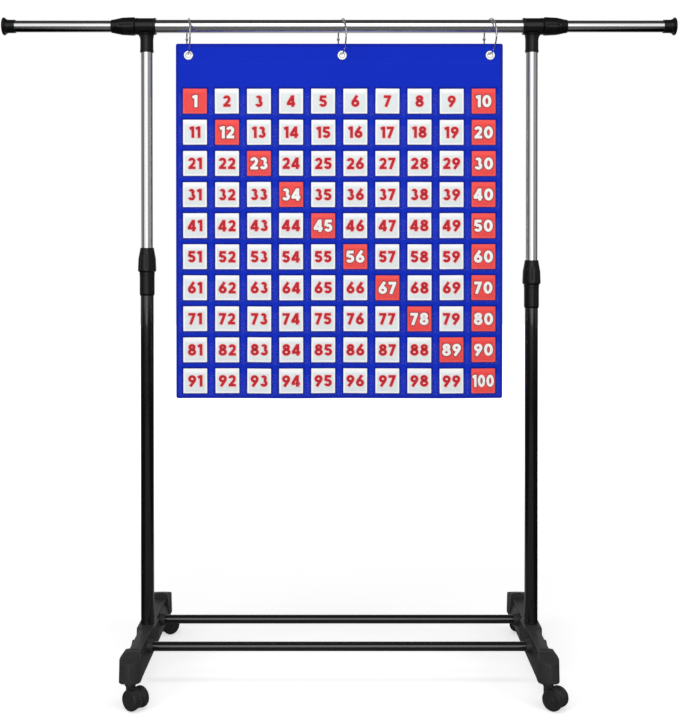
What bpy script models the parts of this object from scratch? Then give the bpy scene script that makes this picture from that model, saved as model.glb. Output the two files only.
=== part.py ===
# Hundred pocket chart on a rolling, telescoping stand. Metres, +Z up, the chart faces -Y.
# The origin is on the floor, midway between the four casters.

import math

import bmesh
import bpy
from mathutils import Matrix, Vector

# Fits
FIT = 0.0003
OVERRUN = 0.004
MERGE = 0.00001
TUBE_SIDES = 24
WHEEL_SIDES = 20
GROMMET_SIDES = 16
PIN_SIDES = 12
RING_SIDES = 8
RING_STEPS = 14

# Tubes of the stand
POLE_SPACING = 0.824
BAR_HEIGHT = 1.3765
OUTER_TUBE_DIAMETER = 0.028
TUBE_WALL = 0.0012
UPPER_POLE_LENGTH = 0.740
BAR_EXTENSION_INSERTION = 0.204
BAR_LENGTH_OVERALL = 1.440

# Plastic foot under each pole
FOOT_LENGTH = 0.440
FOOT_CLEARANCE = 0.050
BEAM_HEIGHT = 0.044
BEAM_FOOT_WIDTH = 0.041
BEAM_TOP_WIDTH = 0.024
HOUSING_LENGTH = 0.050
HOUSING_WIDTH = 0.044
HOUSING_HEIGHT = 0.055
NOSE_HEIGHT = 0.042
NOSE_BULGE = 0.018
NOSE_STEPS = 12
POLE_SOCKET_WIDTH = 0.040
POLE_SOCKET_LENGTH = 0.045
POLE_SOCKET_CORNER = 0.006
POLE_SOCKET_HEIGHT = 0.046
POLE_SEAT = 0.012

# Cross rods between the feet
ROD_DIAMETER = 0.019
ROD_SPACING = 0.162
ROD_HEIGHT = 0.076
ROD_BOSS_DIAMETER = 0.027
ROD_BOSS_REACH = 0.0255
ROD_BOSS_OUTER_REACH = 0.018
ROD_SEAT_DEPTH = 0.014

# Twin wheel casters
CASTER_INSET = 0.023
CASTER_TRAIL = 0.016
CASTER_TURN = math.radians(40.5)
WHEEL_DIAMETER = 0.042
WHEEL_WIDTH = 0.013
WHEEL_ROUNDING = 0.003
WHEEL_DISH = 0.0012
HOOD_WIDTH = 0.0105
HOOD_DIAMETER = 0.039
HOOD_NECK_DIAMETER = 0.022
HOOD_WEB_REACH = 0.008
HOOD_WEB_RISE = 0.002
AXLE_DIAMETER = 0.005
STEM_DIAMETER = 0.008
STEM_RISE = 0.033
STEM_SINK = 0.014

# Height locks
LEFT_SLEEVE_FOOT = 0.8005
RIGHT_SLEEVE_FOOT = 0.7740
SLEEVE_LENGTH = 0.050
SLEEVE_WALL = 0.0020
SLEEVE_BEVEL = 0.004
THREAD_LENGTH = 0.014
THREAD_WALL = 0.0012
KNOB_LENGTH = 0.052
KNOB_DIAMETER = 0.039
KNOB_CHAMFER = 0.003
HEIGHT_KNOB_LIP_WALL = 0.0018
BAR_KNOB_LIP_WALL = 0.0012
KNOB_LIP_LENGTH = 0.005
KNOB_WAIST_SHARE = 0.18
FLUTE_DEPTH = 0.0009
COLLET_WALL = 0.0011
TUBE_TOP_DROP = 0.002

# Tees and bar locks
TEE_BARREL_LENGTH = 0.043
TEE_BARREL_INSET = 0.020
TEE_WALL = 0.0037
SPIGOT_LENGTH = 0.014
SPIGOT_WALL = 0.0013
BAR_END_DROP = 0.002
TEE_SOCKET_WALL = 0.0012
TEE_SOCKET_LENGTH = 0.056
GUSSET_WIDTH = 0.010
GUSSET_REACH = 0.0075
GUSSET_DROP = 0.0125

# End caps of the bar
CAP_LENGTH = 0.027
CAP_WALL = 0.0014
CAP_FLANGE_DIAMETER = 0.038
CAP_FLANGE_THICKNESS = 0.004
CAP_FLARE = 0.004
CAP_CROWN = 0.003

# Hinged rings
RING_WIRE_DIAMETER = 0.0032
RING_TURN = math.radians(13)
KNUCKLE_DIAMETER = 0.0056
KNUCKLE_LENGTH = 0.0056
CATCH_DIAMETER = 0.0048
RING_EDGE_DISTANCE = 0.027
CENTRE_RING_SHIFT = 0.006

# Chart
CHART_WIDTH = 0.700
CHART_HEIGHT = 0.760
CHART_DROP = 0.0368
PANEL_THICKNESS = 0.0012
BINDING_WIDTH = 0.006
BINDING_THICKNESS = 0.0024
BINDING_LAP = 0.001
GROMMET_HOLE_DIAMETER = 0.010
GROMMET_DIAMETER = 0.020
GROMMET_WALL = 0.0010
GROMMET_LAND = 0.0006
GROMMET_DROP = 0.025

# Number cards and the clear pockets over them
ROWS = 10
COLUMNS = 10
CARD_WIDTH = 0.0508
CARD_HEIGHT = 0.0530
CARD_THICKNESS = 0.0005
CARD_TIE_HEIGHT = 0.0010
COLUMN_PITCH = 0.0687
ROW_PITCH = 0.0666
GRID_LEFT_MARGIN = 0.01535
GRID_TOP_MARGIN = 0.0965
POCKET_THICKNESS = 0.0004
POCKET_HEM = 0.0045
POCKET_SIDE_BAND = 0.0045
CARD_SHOWING = 0.0117

# What follows from those
tube_radius = OUTER_TUBE_DIAMETER / 2
tube_bore = tube_radius - TUBE_WALL
inner_tube_radius = tube_bore - FIT
inner_tube_bore = inner_tube_radius - TUBE_WALL
sleeve_bore = tube_radius + FIT
sleeve_radius = sleeve_bore + SLEEVE_WALL
thread_radius = sleeve_bore + THREAD_WALL
slip_bore = inner_tube_radius + FIT
pole_x = POLE_SPACING / 2
foot_end = FOOT_LENGTH / 2
caster_y = foot_end - CASTER_INSET
wheel_radius = WHEEL_DIAMETER / 2
spigot_radius = tube_radius + FIT + SPIGOT_WALL
tee_radius = tube_radius + FIT + TEE_WALL
tee_inner_x = pole_x - TEE_BARREL_INSET
tee_outer_x = tee_inner_x + TEE_BARREL_LENGTH
bar_end_x = tee_outer_x + SPIGOT_LENGTH - BAR_END_DROP
socket_foot = BAR_HEIGHT - TEE_SOCKET_LENGTH
bar_lock_end_x = tee_outer_x + FIT + KNOB_LENGTH
bar_tip_x = BAR_LENGTH_OVERALL / 2
wire_radius = RING_WIRE_DIAMETER / 2
chart_top = BAR_HEIGHT - CHART_DROP
grommet_z = chart_top - GROMMET_DROP
ring_low_z = grommet_z + GROMMET_HOLE_DIAMETER / 2 - FIT - wire_radius
ring_high_z = BAR_HEIGHT + tube_radius + FIT + wire_radius
ring_radius = (ring_high_z - ring_low_z) / 2
ring_z = (ring_high_z + ring_low_z) / 2
chart_left = -CHART_WIDTH / 2
ring_places = {
    "left": chart_left + RING_EDGE_DISTANCE,
    "centre": CENTRE_RING_SHIFT,
    "right": -chart_left - RING_EDGE_DISTANCE,
}
sleeve_feet = {"left": LEFT_SLEEVE_FOOT, "right": RIGHT_SLEEVE_FOOT}
sides = {"left": -1, "right": 1}


def clear_scene():
    for old in list(bpy.data.objects):
        bpy.data.objects.remove(old, do_unlink=True)


def new_collection(name):
    made = bpy.data.collections.new(name)
    bpy.context.scene.collection.children.link(made)
    return made


def new_material(name, colour, roughness, metallic, alpha=1):
    made = bpy.data.materials.new(name)
    made.use_nodes = True
    shader = made.node_tree.nodes["Principled BSDF"]
    shader.inputs["Base Color"].default_value = (*colour, 1)
    shader.inputs["Roughness"].default_value = roughness
    shader.inputs["Metallic"].default_value = metallic
    shader.inputs["Alpha"].default_value = alpha
    made.diffuse_color = (*colour, alpha)
    return made


clear_scene()
parts = new_collection("hundred_pocket_chart")
cutters = new_collection("cutters")
black_plastic = new_material("black_plastic", (0.020, 0.020, 0.021), 0.45, 0)
black_paint = new_material("black_paint", (0.008, 0.008, 0.009), 0.22, 0.1)
chrome = new_material("chrome", (0.62, 0.62, 0.64), 0.16, 1)
steel = new_material("steel", (0.55, 0.55, 0.56), 0.3, 1)
grommet_metal = new_material("grommet_metal", (0.82, 0.82, 0.84), 0.3, 1)
blue_cloth = new_material("blue_cloth", (0.012, 0.034, 0.52), 0.8, 0)
white_card = new_material("white_card", (0.74, 0.75, 0.72), 0.6, 0)
pocket_film = new_material("pocket_film", (0.86, 0.88, 0.90), 0.15, 0, 0.3)


def keep(obj, name, material):
    """Names the object, gives it its material and puts it among the parts."""
    obj.name = name
    obj.data.name = name
    obj.data.materials.clear()
    obj.data.materials.append(material)
    for home in list(obj.users_collection):
        home.objects.unlink(obj)
    parts.objects.link(obj)
    obj.data.shade_smooth()
    if obj.type == "MESH":
        obj.data.set_sharp_from_angle(angle=math.radians(35))
    return obj


def helper(obj, name):
    """A shape that only cuts or joins another: out of the render."""
    obj.name = name
    for home in list(obj.users_collection):
        home.objects.unlink(obj)
    cutters.objects.link(obj)
    obj.hide_render = True
    obj.display_type = "WIRE"
    return obj


def boolean(obj, other, operation):
    made = obj.modifiers.new(f"{operation.lower()} {other.name}", "BOOLEAN")
    made.object = other
    made.operation = operation
    return obj


def object_of(mesh_data):
    made = bpy.data.objects.new("shape", mesh_data)
    bpy.context.scene.collection.objects.link(made)
    return made


def turned(profile, steps=TUBE_SIDES, closed=True):
    """A profile of (radius, height) turned about local Z. A closed one is a ring, listed clockwise."""
    mesh = bmesh.new()
    points = [mesh.verts.new((radius, 0, height)) for radius, height in profile]
    pairs = list(zip(points, points[1:]))
    if closed:
        pairs.append((points[-1], points[0]))
    for pair in pairs:
        mesh.edges.new(pair)
    data = bpy.data.meshes.new("profile")
    mesh.to_mesh(data)
    mesh.free()
    made = object_of(data)
    screw = made.modifiers.new("turn", "SCREW")
    screw.steps = steps
    screw.render_steps = steps
    screw.use_merge_vertices = True
    screw.merge_threshold = MERGE
    return made


def tube(outer, inner, low, high):
    return turned([(inner, low), (inner, high), (outer, high), (outer, low)])


def bar(radius, low, high, steps=TUBE_SIDES):
    """A plain round bar about local Z."""
    bpy.ops.mesh.primitive_cylinder_add(
        vertices=steps, radius=radius, depth=high - low
    )
    made = bpy.context.active_object
    made.data.transform(Matrix.Translation((0, 0, (high + low) / 2)))
    return made


def block(low, high):
    """A box between two corners."""
    bpy.ops.mesh.primitive_cube_add(size=1)
    made = bpy.context.active_object
    low, high = Vector(low), Vector(high)
    made.data.transform(Matrix.Translation((low + high) / 2) @ Matrix.Diagonal((*(high - low), 1)))
    return made


def slab(outline, low, high):
    """A flat outline of (x, y) points drawn up from one height to another."""
    mesh = bmesh.new()
    face = mesh.faces.new([mesh.verts.new((x, y, low)) for x, y in outline])
    drawn = bmesh.ops.extrude_face_region(mesh, geom=[face])
    top = [part for part in drawn["geom"] if isinstance(part, bmesh.types.BMVert)]
    bmesh.ops.translate(mesh, vec=(0, 0, high - low), verts=top)
    bmesh.ops.recalc_face_normals(mesh, faces=mesh.faces)
    data = bpy.data.meshes.new("slab")
    mesh.to_mesh(data)
    mesh.free()
    return object_of(data)


def rounded_outline(width, length, corner):
    """A rectangle of (x, y) points with cut corners."""
    x, y = width / 2, length / 2
    quarter = [(x, y - corner), (x - corner, y)]
    outline = []
    for turn_x, turn_y in ((1, 1), (-1, 1), (-1, -1), (1, -1)):
        points = [(turn_x * px, turn_y * py) for px, py in quarter]
        outline += points if turn_x * turn_y > 0 else points[::-1]
    return outline


def lattice(x_breaks, z_breaks, filled, front, back):
    """A sheet in the XZ plane, from y = front to y = back, made of the cells that filled picks out."""
    mesh = bmesh.new()
    corners = {}

    def corner(i, k):
        if (i, k) not in corners:
            corners[i, k] = mesh.verts.new((x_breaks[i], front, z_breaks[k]))
        return corners[i, k]

    cells = []
    for i in range(len(x_breaks) - 1):
        for k in range(len(z_breaks) - 1):
            if filled(i, k):
                loop = (corner(i, k), corner(i + 1, k), corner(i + 1, k + 1), corner(i, k + 1))
                cells.append(mesh.faces.new(loop))
    drawn = bmesh.ops.extrude_face_region(mesh, geom=cells)
    far = [part for part in drawn["geom"] if isinstance(part, bmesh.types.BMVert)]
    bmesh.ops.translate(mesh, vec=(0, back - front, 0), verts=far)
    bmesh.ops.recalc_face_normals(mesh, faces=mesh.faces)
    data = bpy.data.meshes.new("lattice")
    mesh.to_mesh(data)
    mesh.free()
    return object_of(data)


def settled(obj):
    """The same shape with its modifiers applied, so that its points can be moved."""
    bpy.context.view_layer.update()
    graph = bpy.context.evaluated_depsgraph_get()
    data = bpy.data.meshes.new_from_object(obj.evaluated_get(graph))
    made = object_of(data)
    made.matrix_world = obj.matrix_world.copy()
    bpy.data.objects.remove(obj, do_unlink=True)
    return made


def lay_along_x(obj, side):
    """Turns local Z to point outwards along X on that side."""
    obj.rotation_euler = (0, side * math.pi / 2, 0)
    return obj


def pivot(name, place, turn=0):
    """An empty on a joint's axis."""
    made = bpy.data.objects.new(name, None)
    made.empty_display_size = OUTER_TUBE_DIAMETER
    made.location = place
    made.rotation_euler = (0, 0, turn)
    parts.objects.link(made)
    return made


def hang_on(child, parent):
    """Parents the child and leaves it where it is."""
    bpy.context.view_layer.update()
    child.parent = parent
    child.matrix_parent_inverse = parent.matrix_world.inverted()
    return child


# The stand's base


def housing_outline(end):
    """The foot's end seen from above: a square inner end and a bulging nose."""
    half = HOUSING_WIDTH / 2
    shoulder = foot_end - NOSE_BULGE
    outline = [(half, foot_end - HOUSING_LENGTH), (-half, foot_end - HOUSING_LENGTH)]
    for step in range(NOSE_STEPS + 1):
        angle = math.pi * (1 - step / NOSE_STEPS)
        outline.append((half * math.cos(angle), shoulder + NOSE_BULGE * math.sin(angle)))
    return [(x, end * y) for x, y in outline]


def end_housing(end):
    """One end of a foot, whose top falls from the step to the nose."""
    top = FOOT_CLEARANCE + HOUSING_HEIGHT
    made = slab(housing_outline(end), FOOT_CLEARANCE, top)
    fall = (HOUSING_HEIGHT - NOSE_HEIGHT) / HOUSING_LENGTH
    for vertex in made.data.vertices:
        if vertex.co.z > top - MERGE:
            inward = foot_end - abs(vertex.co.y)
            vertex.co.z = FOOT_CLEARANCE + NOSE_HEIGHT + fall * inward
    return helper(made, "end_housing")


def foot(name, side):
    """A foot is one moulding: a tapered beam, a housing at each end, a pole socket and two rod bosses."""
    low = FOOT_CLEARANCE
    beam_end = foot_end - HOUSING_LENGTH / 2
    made = slab(
        [
            (-BEAM_FOOT_WIDTH / 2, low),
            (BEAM_FOOT_WIDTH / 2, low),
            (BEAM_TOP_WIDTH / 2, low + BEAM_HEIGHT),
            (-BEAM_TOP_WIDTH / 2, low + BEAM_HEIGHT),
        ],
        -beam_end,
        beam_end,
    )
    made.data.transform(Matrix.Rotation(math.pi / 2, 4, "X"))
    socket = rounded_outline(POLE_SOCKET_WIDTH, POLE_SOCKET_LENGTH, POLE_SOCKET_CORNER)
    joined = [slab(socket, low + POLE_SEAT / 2, low + POLE_SOCKET_HEIGHT)]
    removed = [bar(tube_radius + FIT, low + POLE_SEAT, low + POLE_SOCKET_HEIGHT + OVERRUN)]
    for end in (-1, 1):
        joined.append(end_housing(end))
        boss = lay_along_x(bar(ROD_BOSS_DIAMETER / 2, -ROD_BOSS_OUTER_REACH, ROD_BOSS_REACH), -side)
        boss.location = (0, end * ROD_SPACING / 2, ROD_HEIGHT)
        joined.append(boss)
        bore_start = ROD_BOSS_REACH - ROD_SEAT_DEPTH
        bore = lay_along_x(
            bar(ROD_DIAMETER / 2 + FIT, bore_start, ROD_BOSS_REACH + OVERRUN), -side
        )
        bore.location = boss.location
        removed.append(bore)
        stem_top = low + STEM_RISE + FIT
        stem_bore = bar(STEM_DIAMETER / 2 + FIT, low - OVERRUN, stem_top, PIN_SIDES)
        stem_bore.location = (0, end * caster_y, 0)
        removed.append(stem_bore)
    keep(made, name, black_plastic)
    for index, shape in enumerate(joined + removed):
        cutting = index >= len(joined)
        helper(shape, f"{name}_shape_{index}")
        hang_on(shape, made)
        boolean(made, shape, "DIFFERENCE" if cutting else "UNION")
    made.location.x = side * pole_x
    return made


def cross_rod(name, y):
    """A round rod seated in both feet."""
    half = pole_x - ROD_BOSS_REACH + ROD_SEAT_DEPTH - FIT
    made = lay_along_x(bar(ROD_DIAMETER / 2, -half, half), 1)
    made.location = (0, y, ROD_HEIGHT)
    return keep(made, name, black_paint)


def wheel_profile():
    """Half of a wheel's section, from the inner face at height 0 to the dished outer face."""
    bore = AXLE_DIAMETER / 2 + FIT
    rim = wheel_radius - WHEEL_ROUNDING
    return [
        (bore, 0),
        (bore, WHEEL_WIDTH - WHEEL_DISH),
        (rim, WHEEL_WIDTH),
        (wheel_radius, WHEEL_WIDTH - WHEEL_ROUNDING),
        (wheel_radius, WHEEL_ROUNDING),
        (rim, 0),
    ]


def caster(place_name, side, end, turn):
    """A swivelling stem, its hood and two wheels. Local X is the way the wheels trail."""
    spot = (side * pole_x, end * caster_y, 0)
    swivel = pivot(f"swivel_{place_name}", spot, turn)
    hood_top = FOOT_CLEARANCE - FIT
    hood = bar(HOOD_NECK_DIAMETER / 2, WHEEL_DIAMETER + FIT, hood_top)
    web = block(
        (-HOOD_WEB_REACH, -HOOD_WIDTH / 2, wheel_radius),
        (CASTER_TRAIL, HOOD_WIDTH / 2, WHEEL_DIAMETER + HOOD_WEB_RISE),
    )
    disc_reach = HOOD_WIDTH / 2 - FIT
    disc = bar(HOOD_DIAMETER / 2, -disc_reach, disc_reach)
    axle_reach = HOOD_WIDTH / 2 + WHEEL_WIDTH - WHEEL_DISH
    axle = bar(AXLE_DIAMETER / 2, -axle_reach, axle_reach, PIN_SIDES)
    stem_bore = bar(STEM_DIAMETER / 2 + FIT, hood_top - STEM_SINK, hood_top + OVERRUN, PIN_SIDES)
    keep(hood, f"caster_hood_{place_name}", black_plastic)
    hood.parent = swivel
    for shape in (disc, axle):
        shape.rotation_euler = (math.pi / 2, 0, 0)
        shape.location = (CASTER_TRAIL, 0, wheel_radius)
    for shape in (web, disc, axle, stem_bore):
        helper(shape, f"hood_shape_{place_name}")
        shape.parent = swivel
        boolean(hood, shape, "DIFFERENCE" if shape is stem_bore else "UNION")
    stem = bar(
        STEM_DIAMETER / 2, hood_top - STEM_SINK + FIT, FOOT_CLEARANCE + STEM_RISE, PIN_SIDES
    )
    keep(stem, f"caster_stem_{place_name}", steel)
    stem.parent = swivel
    spin = pivot(f"axle_{place_name}", (CASTER_TRAIL, 0, wheel_radius))
    spin.parent = swivel
    for face, label in ((-1, "a"), (1, "b")):
        wheel = turned(wheel_profile(), WHEEL_SIDES)
        wheel.rotation_euler = (face * math.pi / 2, 0, 0)
        wheel.location = (0, -face * (HOOD_WIDTH / 2 + FIT), 0)
        keep(wheel, f"caster_wheel_{place_name}_{label}", black_plastic)
        wheel.parent = spin


def build_base():
    for name, side in sides.items():
        foot(f"foot_{name}", side)
        lower = tube(
            tube_radius,
            tube_bore,
            FOOT_CLEARANCE + POLE_SEAT + FIT,
            sleeve_feet[name] + SLEEVE_LENGTH + THREAD_LENGTH - TUBE_TOP_DROP,
        )
        lower.location.x = side * pole_x
        keep(lower, f"lower_pole_{name}", black_paint)
    cross_rod("cross_rod_front", -ROD_SPACING / 2)
    cross_rod("cross_rod_rear", ROD_SPACING / 2)
    for name, side in sides.items():
        caster(f"front_{name}", side, -1, -CASTER_TURN)
        caster(f"rear_{name}", side, 1, CASTER_TURN)


# Locks that grip an inner tube in an outer one


def knob_profile(thread, lip):
    """A clamping nut about local Z: wide end at height 0, lip at the top. thread is its wide bore."""
    wide = KNOB_DIAMETER / 2
    shoulder = lip + (wide - lip) * (1 - KNOB_WAIST_SHARE)
    grip_bore = slip_bore + COLLET_WALL + FIT
    return [
        (thread, 0),
        (thread, THREAD_LENGTH + FIT),
        (grip_bore, THREAD_LENGTH + FIT),
        (grip_bore, KNOB_LENGTH - KNOB_LIP_LENGTH),
        (slip_bore, KNOB_LENGTH - KNOB_LIP_LENGTH),
        (slip_bore, KNOB_LENGTH),
        (lip, KNOB_LENGTH),
        (shoulder, KNOB_LENGTH / 2),
        (wide, KNOB_CHAMFER * 2),
        (wide, KNOB_CHAMFER),
        (wide - KNOB_CHAMFER, 0),
    ]


def knob(name, thread, lip_wall):
    """Every third column of points is drawn in, which leaves the grip's flutes."""
    lip = slip_bore + lip_wall
    made = settled(turned(knob_profile(thread, lip)))
    for vertex in made.data.vertices:
        reach = math.hypot(vertex.co.x, vertex.co.y)
        column = round(math.atan2(vertex.co.y, vertex.co.x) / (2 * math.pi / TUBE_SIDES))
        on_grip = reach > max(thread, lip) + FLUTE_DEPTH
        between = MERGE < vertex.co.z < KNOB_LENGTH - MERGE
        if on_grip and between and column % 3 == 0:
            vertex.co.x *= 1 - FLUTE_DEPTH / reach
            vertex.co.y *= 1 - FLUTE_DEPTH / reach
    return keep(made, name, black_plastic)


def sleeve_profile():
    """The fixed half of a height lock, with its threaded nose."""
    nose = SLEEVE_LENGTH + THREAD_LENGTH
    return [
        (sleeve_bore, 0),
        (sleeve_bore, nose),
        (thread_radius, nose),
        (thread_radius, SLEEVE_LENGTH),
        (sleeve_radius, SLEEVE_LENGTH),
        (sleeve_radius, SLEEVE_BEVEL),
        (sleeve_radius - SLEEVE_WALL / 2, 0),
    ]


def build_height_lock(name, side, mast):
    low = sleeve_feet[name]
    sleeve = turned(sleeve_profile())
    sleeve.location = (side * pole_x, 0, low)
    keep(sleeve, f"height_sleeve_{name}", black_plastic)
    nut_low = low + SLEEVE_LENGTH + FIT
    nut = knob(f"height_knob_{name}", thread_radius + FIT, HEIGHT_KNOB_LIP_WALL)
    nut.location = (side * pole_x, 0, nut_low)
    collet = tube(
        slip_bore + COLLET_WALL,
        slip_bore,
        low + SLEEVE_LENGTH + THREAD_LENGTH + FIT + FIT,
        nut_low + KNOB_LENGTH - KNOB_LIP_LENGTH - FIT,
    )
    collet.location = (side * pole_x, 0, 0)
    keep(collet, f"grip_collet_{name}", steel)
    upper_top = BAR_HEIGHT - tee_radius - FIT
    upper = tube(inner_tube_radius, inner_tube_bore, upper_top - UPPER_POLE_LENGTH, upper_top)
    upper.location.x = side * pole_x
    keep(upper, f"upper_pole_{name}", chrome)
    hang_on(upper, mast)


# The telescoping bar


def tee(name, side):
    """Joins the bar to a pole. The knob's spigot points outwards, and a gusset stiffens that corner."""
    made = lay_along_x(bar(tee_radius, tee_inner_x, tee_outer_x), side)
    spigot = lay_along_x(
        bar(spigot_radius, tee_inner_x + OVERRUN, tee_outer_x + SPIGOT_LENGTH), side
    )
    socket = bar(slip_bore + TEE_SOCKET_WALL, -TEE_SOCKET_LENGTH, 0)
    socket.location.x = side * pole_x
    gusset_edge = slip_bore + TEE_SOCKET_WALL
    gusset = slab(
        [
            (gusset_edge - OVERRUN, -tee_radius + OVERRUN),
            (gusset_edge - OVERRUN, -tee_radius - GUSSET_DROP),
            (gusset_edge + GUSSET_REACH, -tee_radius + OVERRUN),
        ],
        -GUSSET_WIDTH / 2,
        GUSSET_WIDTH / 2,
    )
    gusset.rotation_euler = (math.pi / 2, 0, 0 if side > 0 else math.pi)
    gusset.location.x = side * pole_x
    long_bore = lay_along_x(bar(tube_radius + FIT, tee_inner_x - OVERRUN, bar_lock_end_x), side)
    pole_bore = bar(slip_bore, -TEE_SOCKET_LENGTH - OVERRUN, -tee_radius)
    pole_bore.location.x = side * pole_x
    keep(made, name, black_plastic)
    joined = (spigot, socket, gusset)
    for index, shape in enumerate((*joined, long_bore, pole_bore)):
        helper(shape, f"{name}_shape_{index}")
        hang_on(shape, made)
        boolean(made, shape, "UNION" if index < len(joined) else "DIFFERENCE")
    made.location.z = BAR_HEIGHT
    return made


def cap_profile():
    """A cup over the tube's end, flaring to a crowned flange. Height 0 is its open mouth."""
    wall = slip_bore + CAP_WALL
    flange = CAP_FLANGE_DIAMETER / 2
    flange_low = CAP_LENGTH - CAP_FLANGE_THICKNESS
    return [
        (0, CAP_LENGTH),
        (flange - CAP_CROWN, CAP_LENGTH),
        (flange, CAP_LENGTH - CAP_FLANGE_THICKNESS / 2),
        (flange, flange_low),
        (wall, flange_low - CAP_FLARE),
        (wall, 0),
        (slip_bore, 0),
        (slip_bore, flange_low),
        (0, flange_low),
    ]


def build_bar(mast):
    main_bar = lay_along_x(tube(tube_radius, tube_bore, -bar_end_x, bar_end_x), 1)
    main_bar.location.z = BAR_HEIGHT
    hang_on(keep(main_bar, "bar_main", chrome), mast)
    for name, side in sides.items():
        hang_on(tee(f"tee_{name}", side), mast)
        nut = knob(f"bar_knob_{name}", spigot_radius + FIT, BAR_KNOB_LIP_WALL)
        lay_along_x(nut, side)
        nut.location = (side * (tee_outer_x + FIT), 0, BAR_HEIGHT)
        hang_on(nut, mast)
        slider = pivot(f"bar_slide_{name}", (side * bar_lock_end_x, 0, BAR_HEIGHT))
        hang_on(slider, mast)
        tube_end = bar_tip_x - CAP_FLANGE_THICKNESS - FIT
        extension = lay_along_x(
            tube(
                inner_tube_radius,
                inner_tube_bore,
                bar_end_x - BAR_EXTENSION_INSERTION,
                tube_end,
            ),
            side,
        )
        extension.location.z = BAR_HEIGHT
        keep(extension, f"bar_extension_{name}", chrome)
        hang_on(extension, slider)
        cap = lay_along_x(turned(cap_profile(), closed=False), side)
        cap.location = (side * (bar_tip_x - CAP_LENGTH), 0, BAR_HEIGHT)
        keep(cap, f"end_cap_{name}", black_plastic)
        hang_on(cap, slider)


# Rings and chart


def wire_arc(start, finish):
    """A round wire along part of the ring, in the local YZ plane about the ring's centre."""
    path = bpy.data.curves.new("wire", "CURVE")
    path.dimensions = "3D"
    path.bevel_depth = wire_radius
    path.bevel_resolution = RING_SIDES // 4 - 1
    path.use_fill_caps = True
    spline = path.splines.new("POLY")
    spline.points.add(RING_STEPS)
    for step, point in enumerate(spline.points):
        angle = start + (finish - start) * step / RING_STEPS
        point.co = (0, ring_radius * math.cos(angle), ring_radius * math.sin(angle), 1)
    made = settled(object_of(path))
    mesh = bmesh.new()
    mesh.from_mesh(made.data)
    bmesh.ops.remove_doubles(mesh, verts=mesh.verts, dist=MERGE)
    bmesh.ops.recalc_face_normals(mesh, faces=mesh.faces)
    mesh.to_mesh(made.data)
    mesh.free()
    return made


def ring(name, x, swing):
    """A hinged ring round the bar: the lower half carries the hinge knuckle and the catch."""
    knuckle_gap = (KNUCKLE_DIAMETER / 2 + FIT) / ring_radius
    catch_gap = (CATCH_DIAMETER / 2 + FIT) / ring_radius
    turn = (0, 0, RING_TURN)
    centre = (x, 0, ring_z)
    lower = wire_arc(0, -math.pi)
    knuckle = bar(KNUCKLE_DIAMETER / 2, -KNUCKLE_LENGTH / 2, KNUCKLE_LENGTH / 2, PIN_SIDES)
    catch = bar(CATCH_DIAMETER / 2, -CATCH_DIAMETER / 2, CATCH_DIAMETER / 2, PIN_SIDES)
    knuckle.data.transform(Matrix.Rotation(math.pi / 2, 4, "Y"))
    knuckle.data.transform(Matrix.Translation((0, ring_radius, 0)))
    catch.data.transform(Matrix.Translation((0, -ring_radius, 0)))
    keep(lower, f"ring_lower_{name}", chrome)
    for index, shape in enumerate((knuckle, catch)):
        helper(shape, f"ring_shape_{name}_{index}")
        shape.parent = lower
        boolean(lower, shape, "UNION")
    lower.location = centre
    lower.rotation_euler = turn
    hang_on(lower, swing)
    upper = wire_arc(knuckle_gap, math.pi - catch_gap)
    upper.location = centre
    upper.rotation_euler = turn
    keep(upper, f"ring_upper_{name}", chrome)
    back = Vector((x, 0, ring_z)) + Matrix.Rotation(RING_TURN, 3, "Z") @ Vector((0, ring_radius, 0))
    hinge = pivot(f"ring_hinge_{name}", back, RING_TURN)
    hang_on(hinge, swing)
    hang_on(upper, hinge)


def grommet_profile():
    """A rolled eyelet that grips the panel between two flanges."""
    hole = GROMMET_HOLE_DIAMETER / 2
    grip = PANEL_THICKNESS / 2 + FIT
    face = grip + GROMMET_WALL
    neck = hole + GROMMET_WALL
    rim = GROMMET_DIAMETER / 2
    return [
        (hole, -GROMMET_LAND),
        (hole, GROMMET_LAND),
        (neck, face),
        (rim - GROMMET_WALL / 2, face),
        (rim, grip),
        (neck, grip),
        (neck, -grip),
        (rim, -grip),
        (rim - GROMMET_WALL / 2, -face),
        (neck, -face),
    ]


def layer(gaps, *thicknesses):
    """How far in front of the chart's middle a layer lies."""
    return -(PANEL_THICKNESS / 2 + gaps * FIT + sum(thicknesses))


def column_breaks():
    """The left and right edge of each card, in turn."""
    breaks = []
    for column in range(COLUMNS):
        left = chart_left + GRID_LEFT_MARGIN + column * COLUMN_PITCH
        breaks += [left, left + CARD_WIDTH]
    return breaks


def card_top(row):
    return chart_top - GRID_TOP_MARGIN - row * ROW_PITCH


def card_row(row):
    """Ten cards side by side. A thread of card ties them, so that a row is one body."""
    foot_z = card_top(row) - CARD_HEIGHT
    z_breaks = [foot_z, foot_z + CARD_TIE_HEIGHT, card_top(row)]
    made = lattice(
        column_breaks(),
        z_breaks,
        lambda i, k: i % 2 == 0 or k == 0,
        layer(1, CARD_THICKNESS),
        layer(1),
    )
    first = row * COLUMNS + 1
    return keep(made, f"number_cards_{first:03d}_{first + COLUMNS - 1:03d}", white_card)


def clear_pockets():
    """A strip of film over the lower part of each row of cards, sewn in at both side bands."""
    side = -chart_left - BINDING_WIDTH - FIT
    x_breaks = [-side, POCKET_SIDE_BAND - side, side - POCKET_SIDE_BAND, side]
    z_breaks = []
    for row in reversed(range(ROWS)):
        z_breaks.append(card_top(row) - CARD_HEIGHT - POCKET_HEM)
        z_breaks.append(card_top(row) - CARD_SHOWING)
    made = lattice(
        x_breaks,
        z_breaks,
        lambda i, k: i != 1 or k % 2 == 0,
        layer(2, CARD_THICKNESS, POCKET_THICKNESS),
        layer(2, CARD_THICKNESS),
    )
    return keep(made, "clear_pockets", pocket_film)


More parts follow.
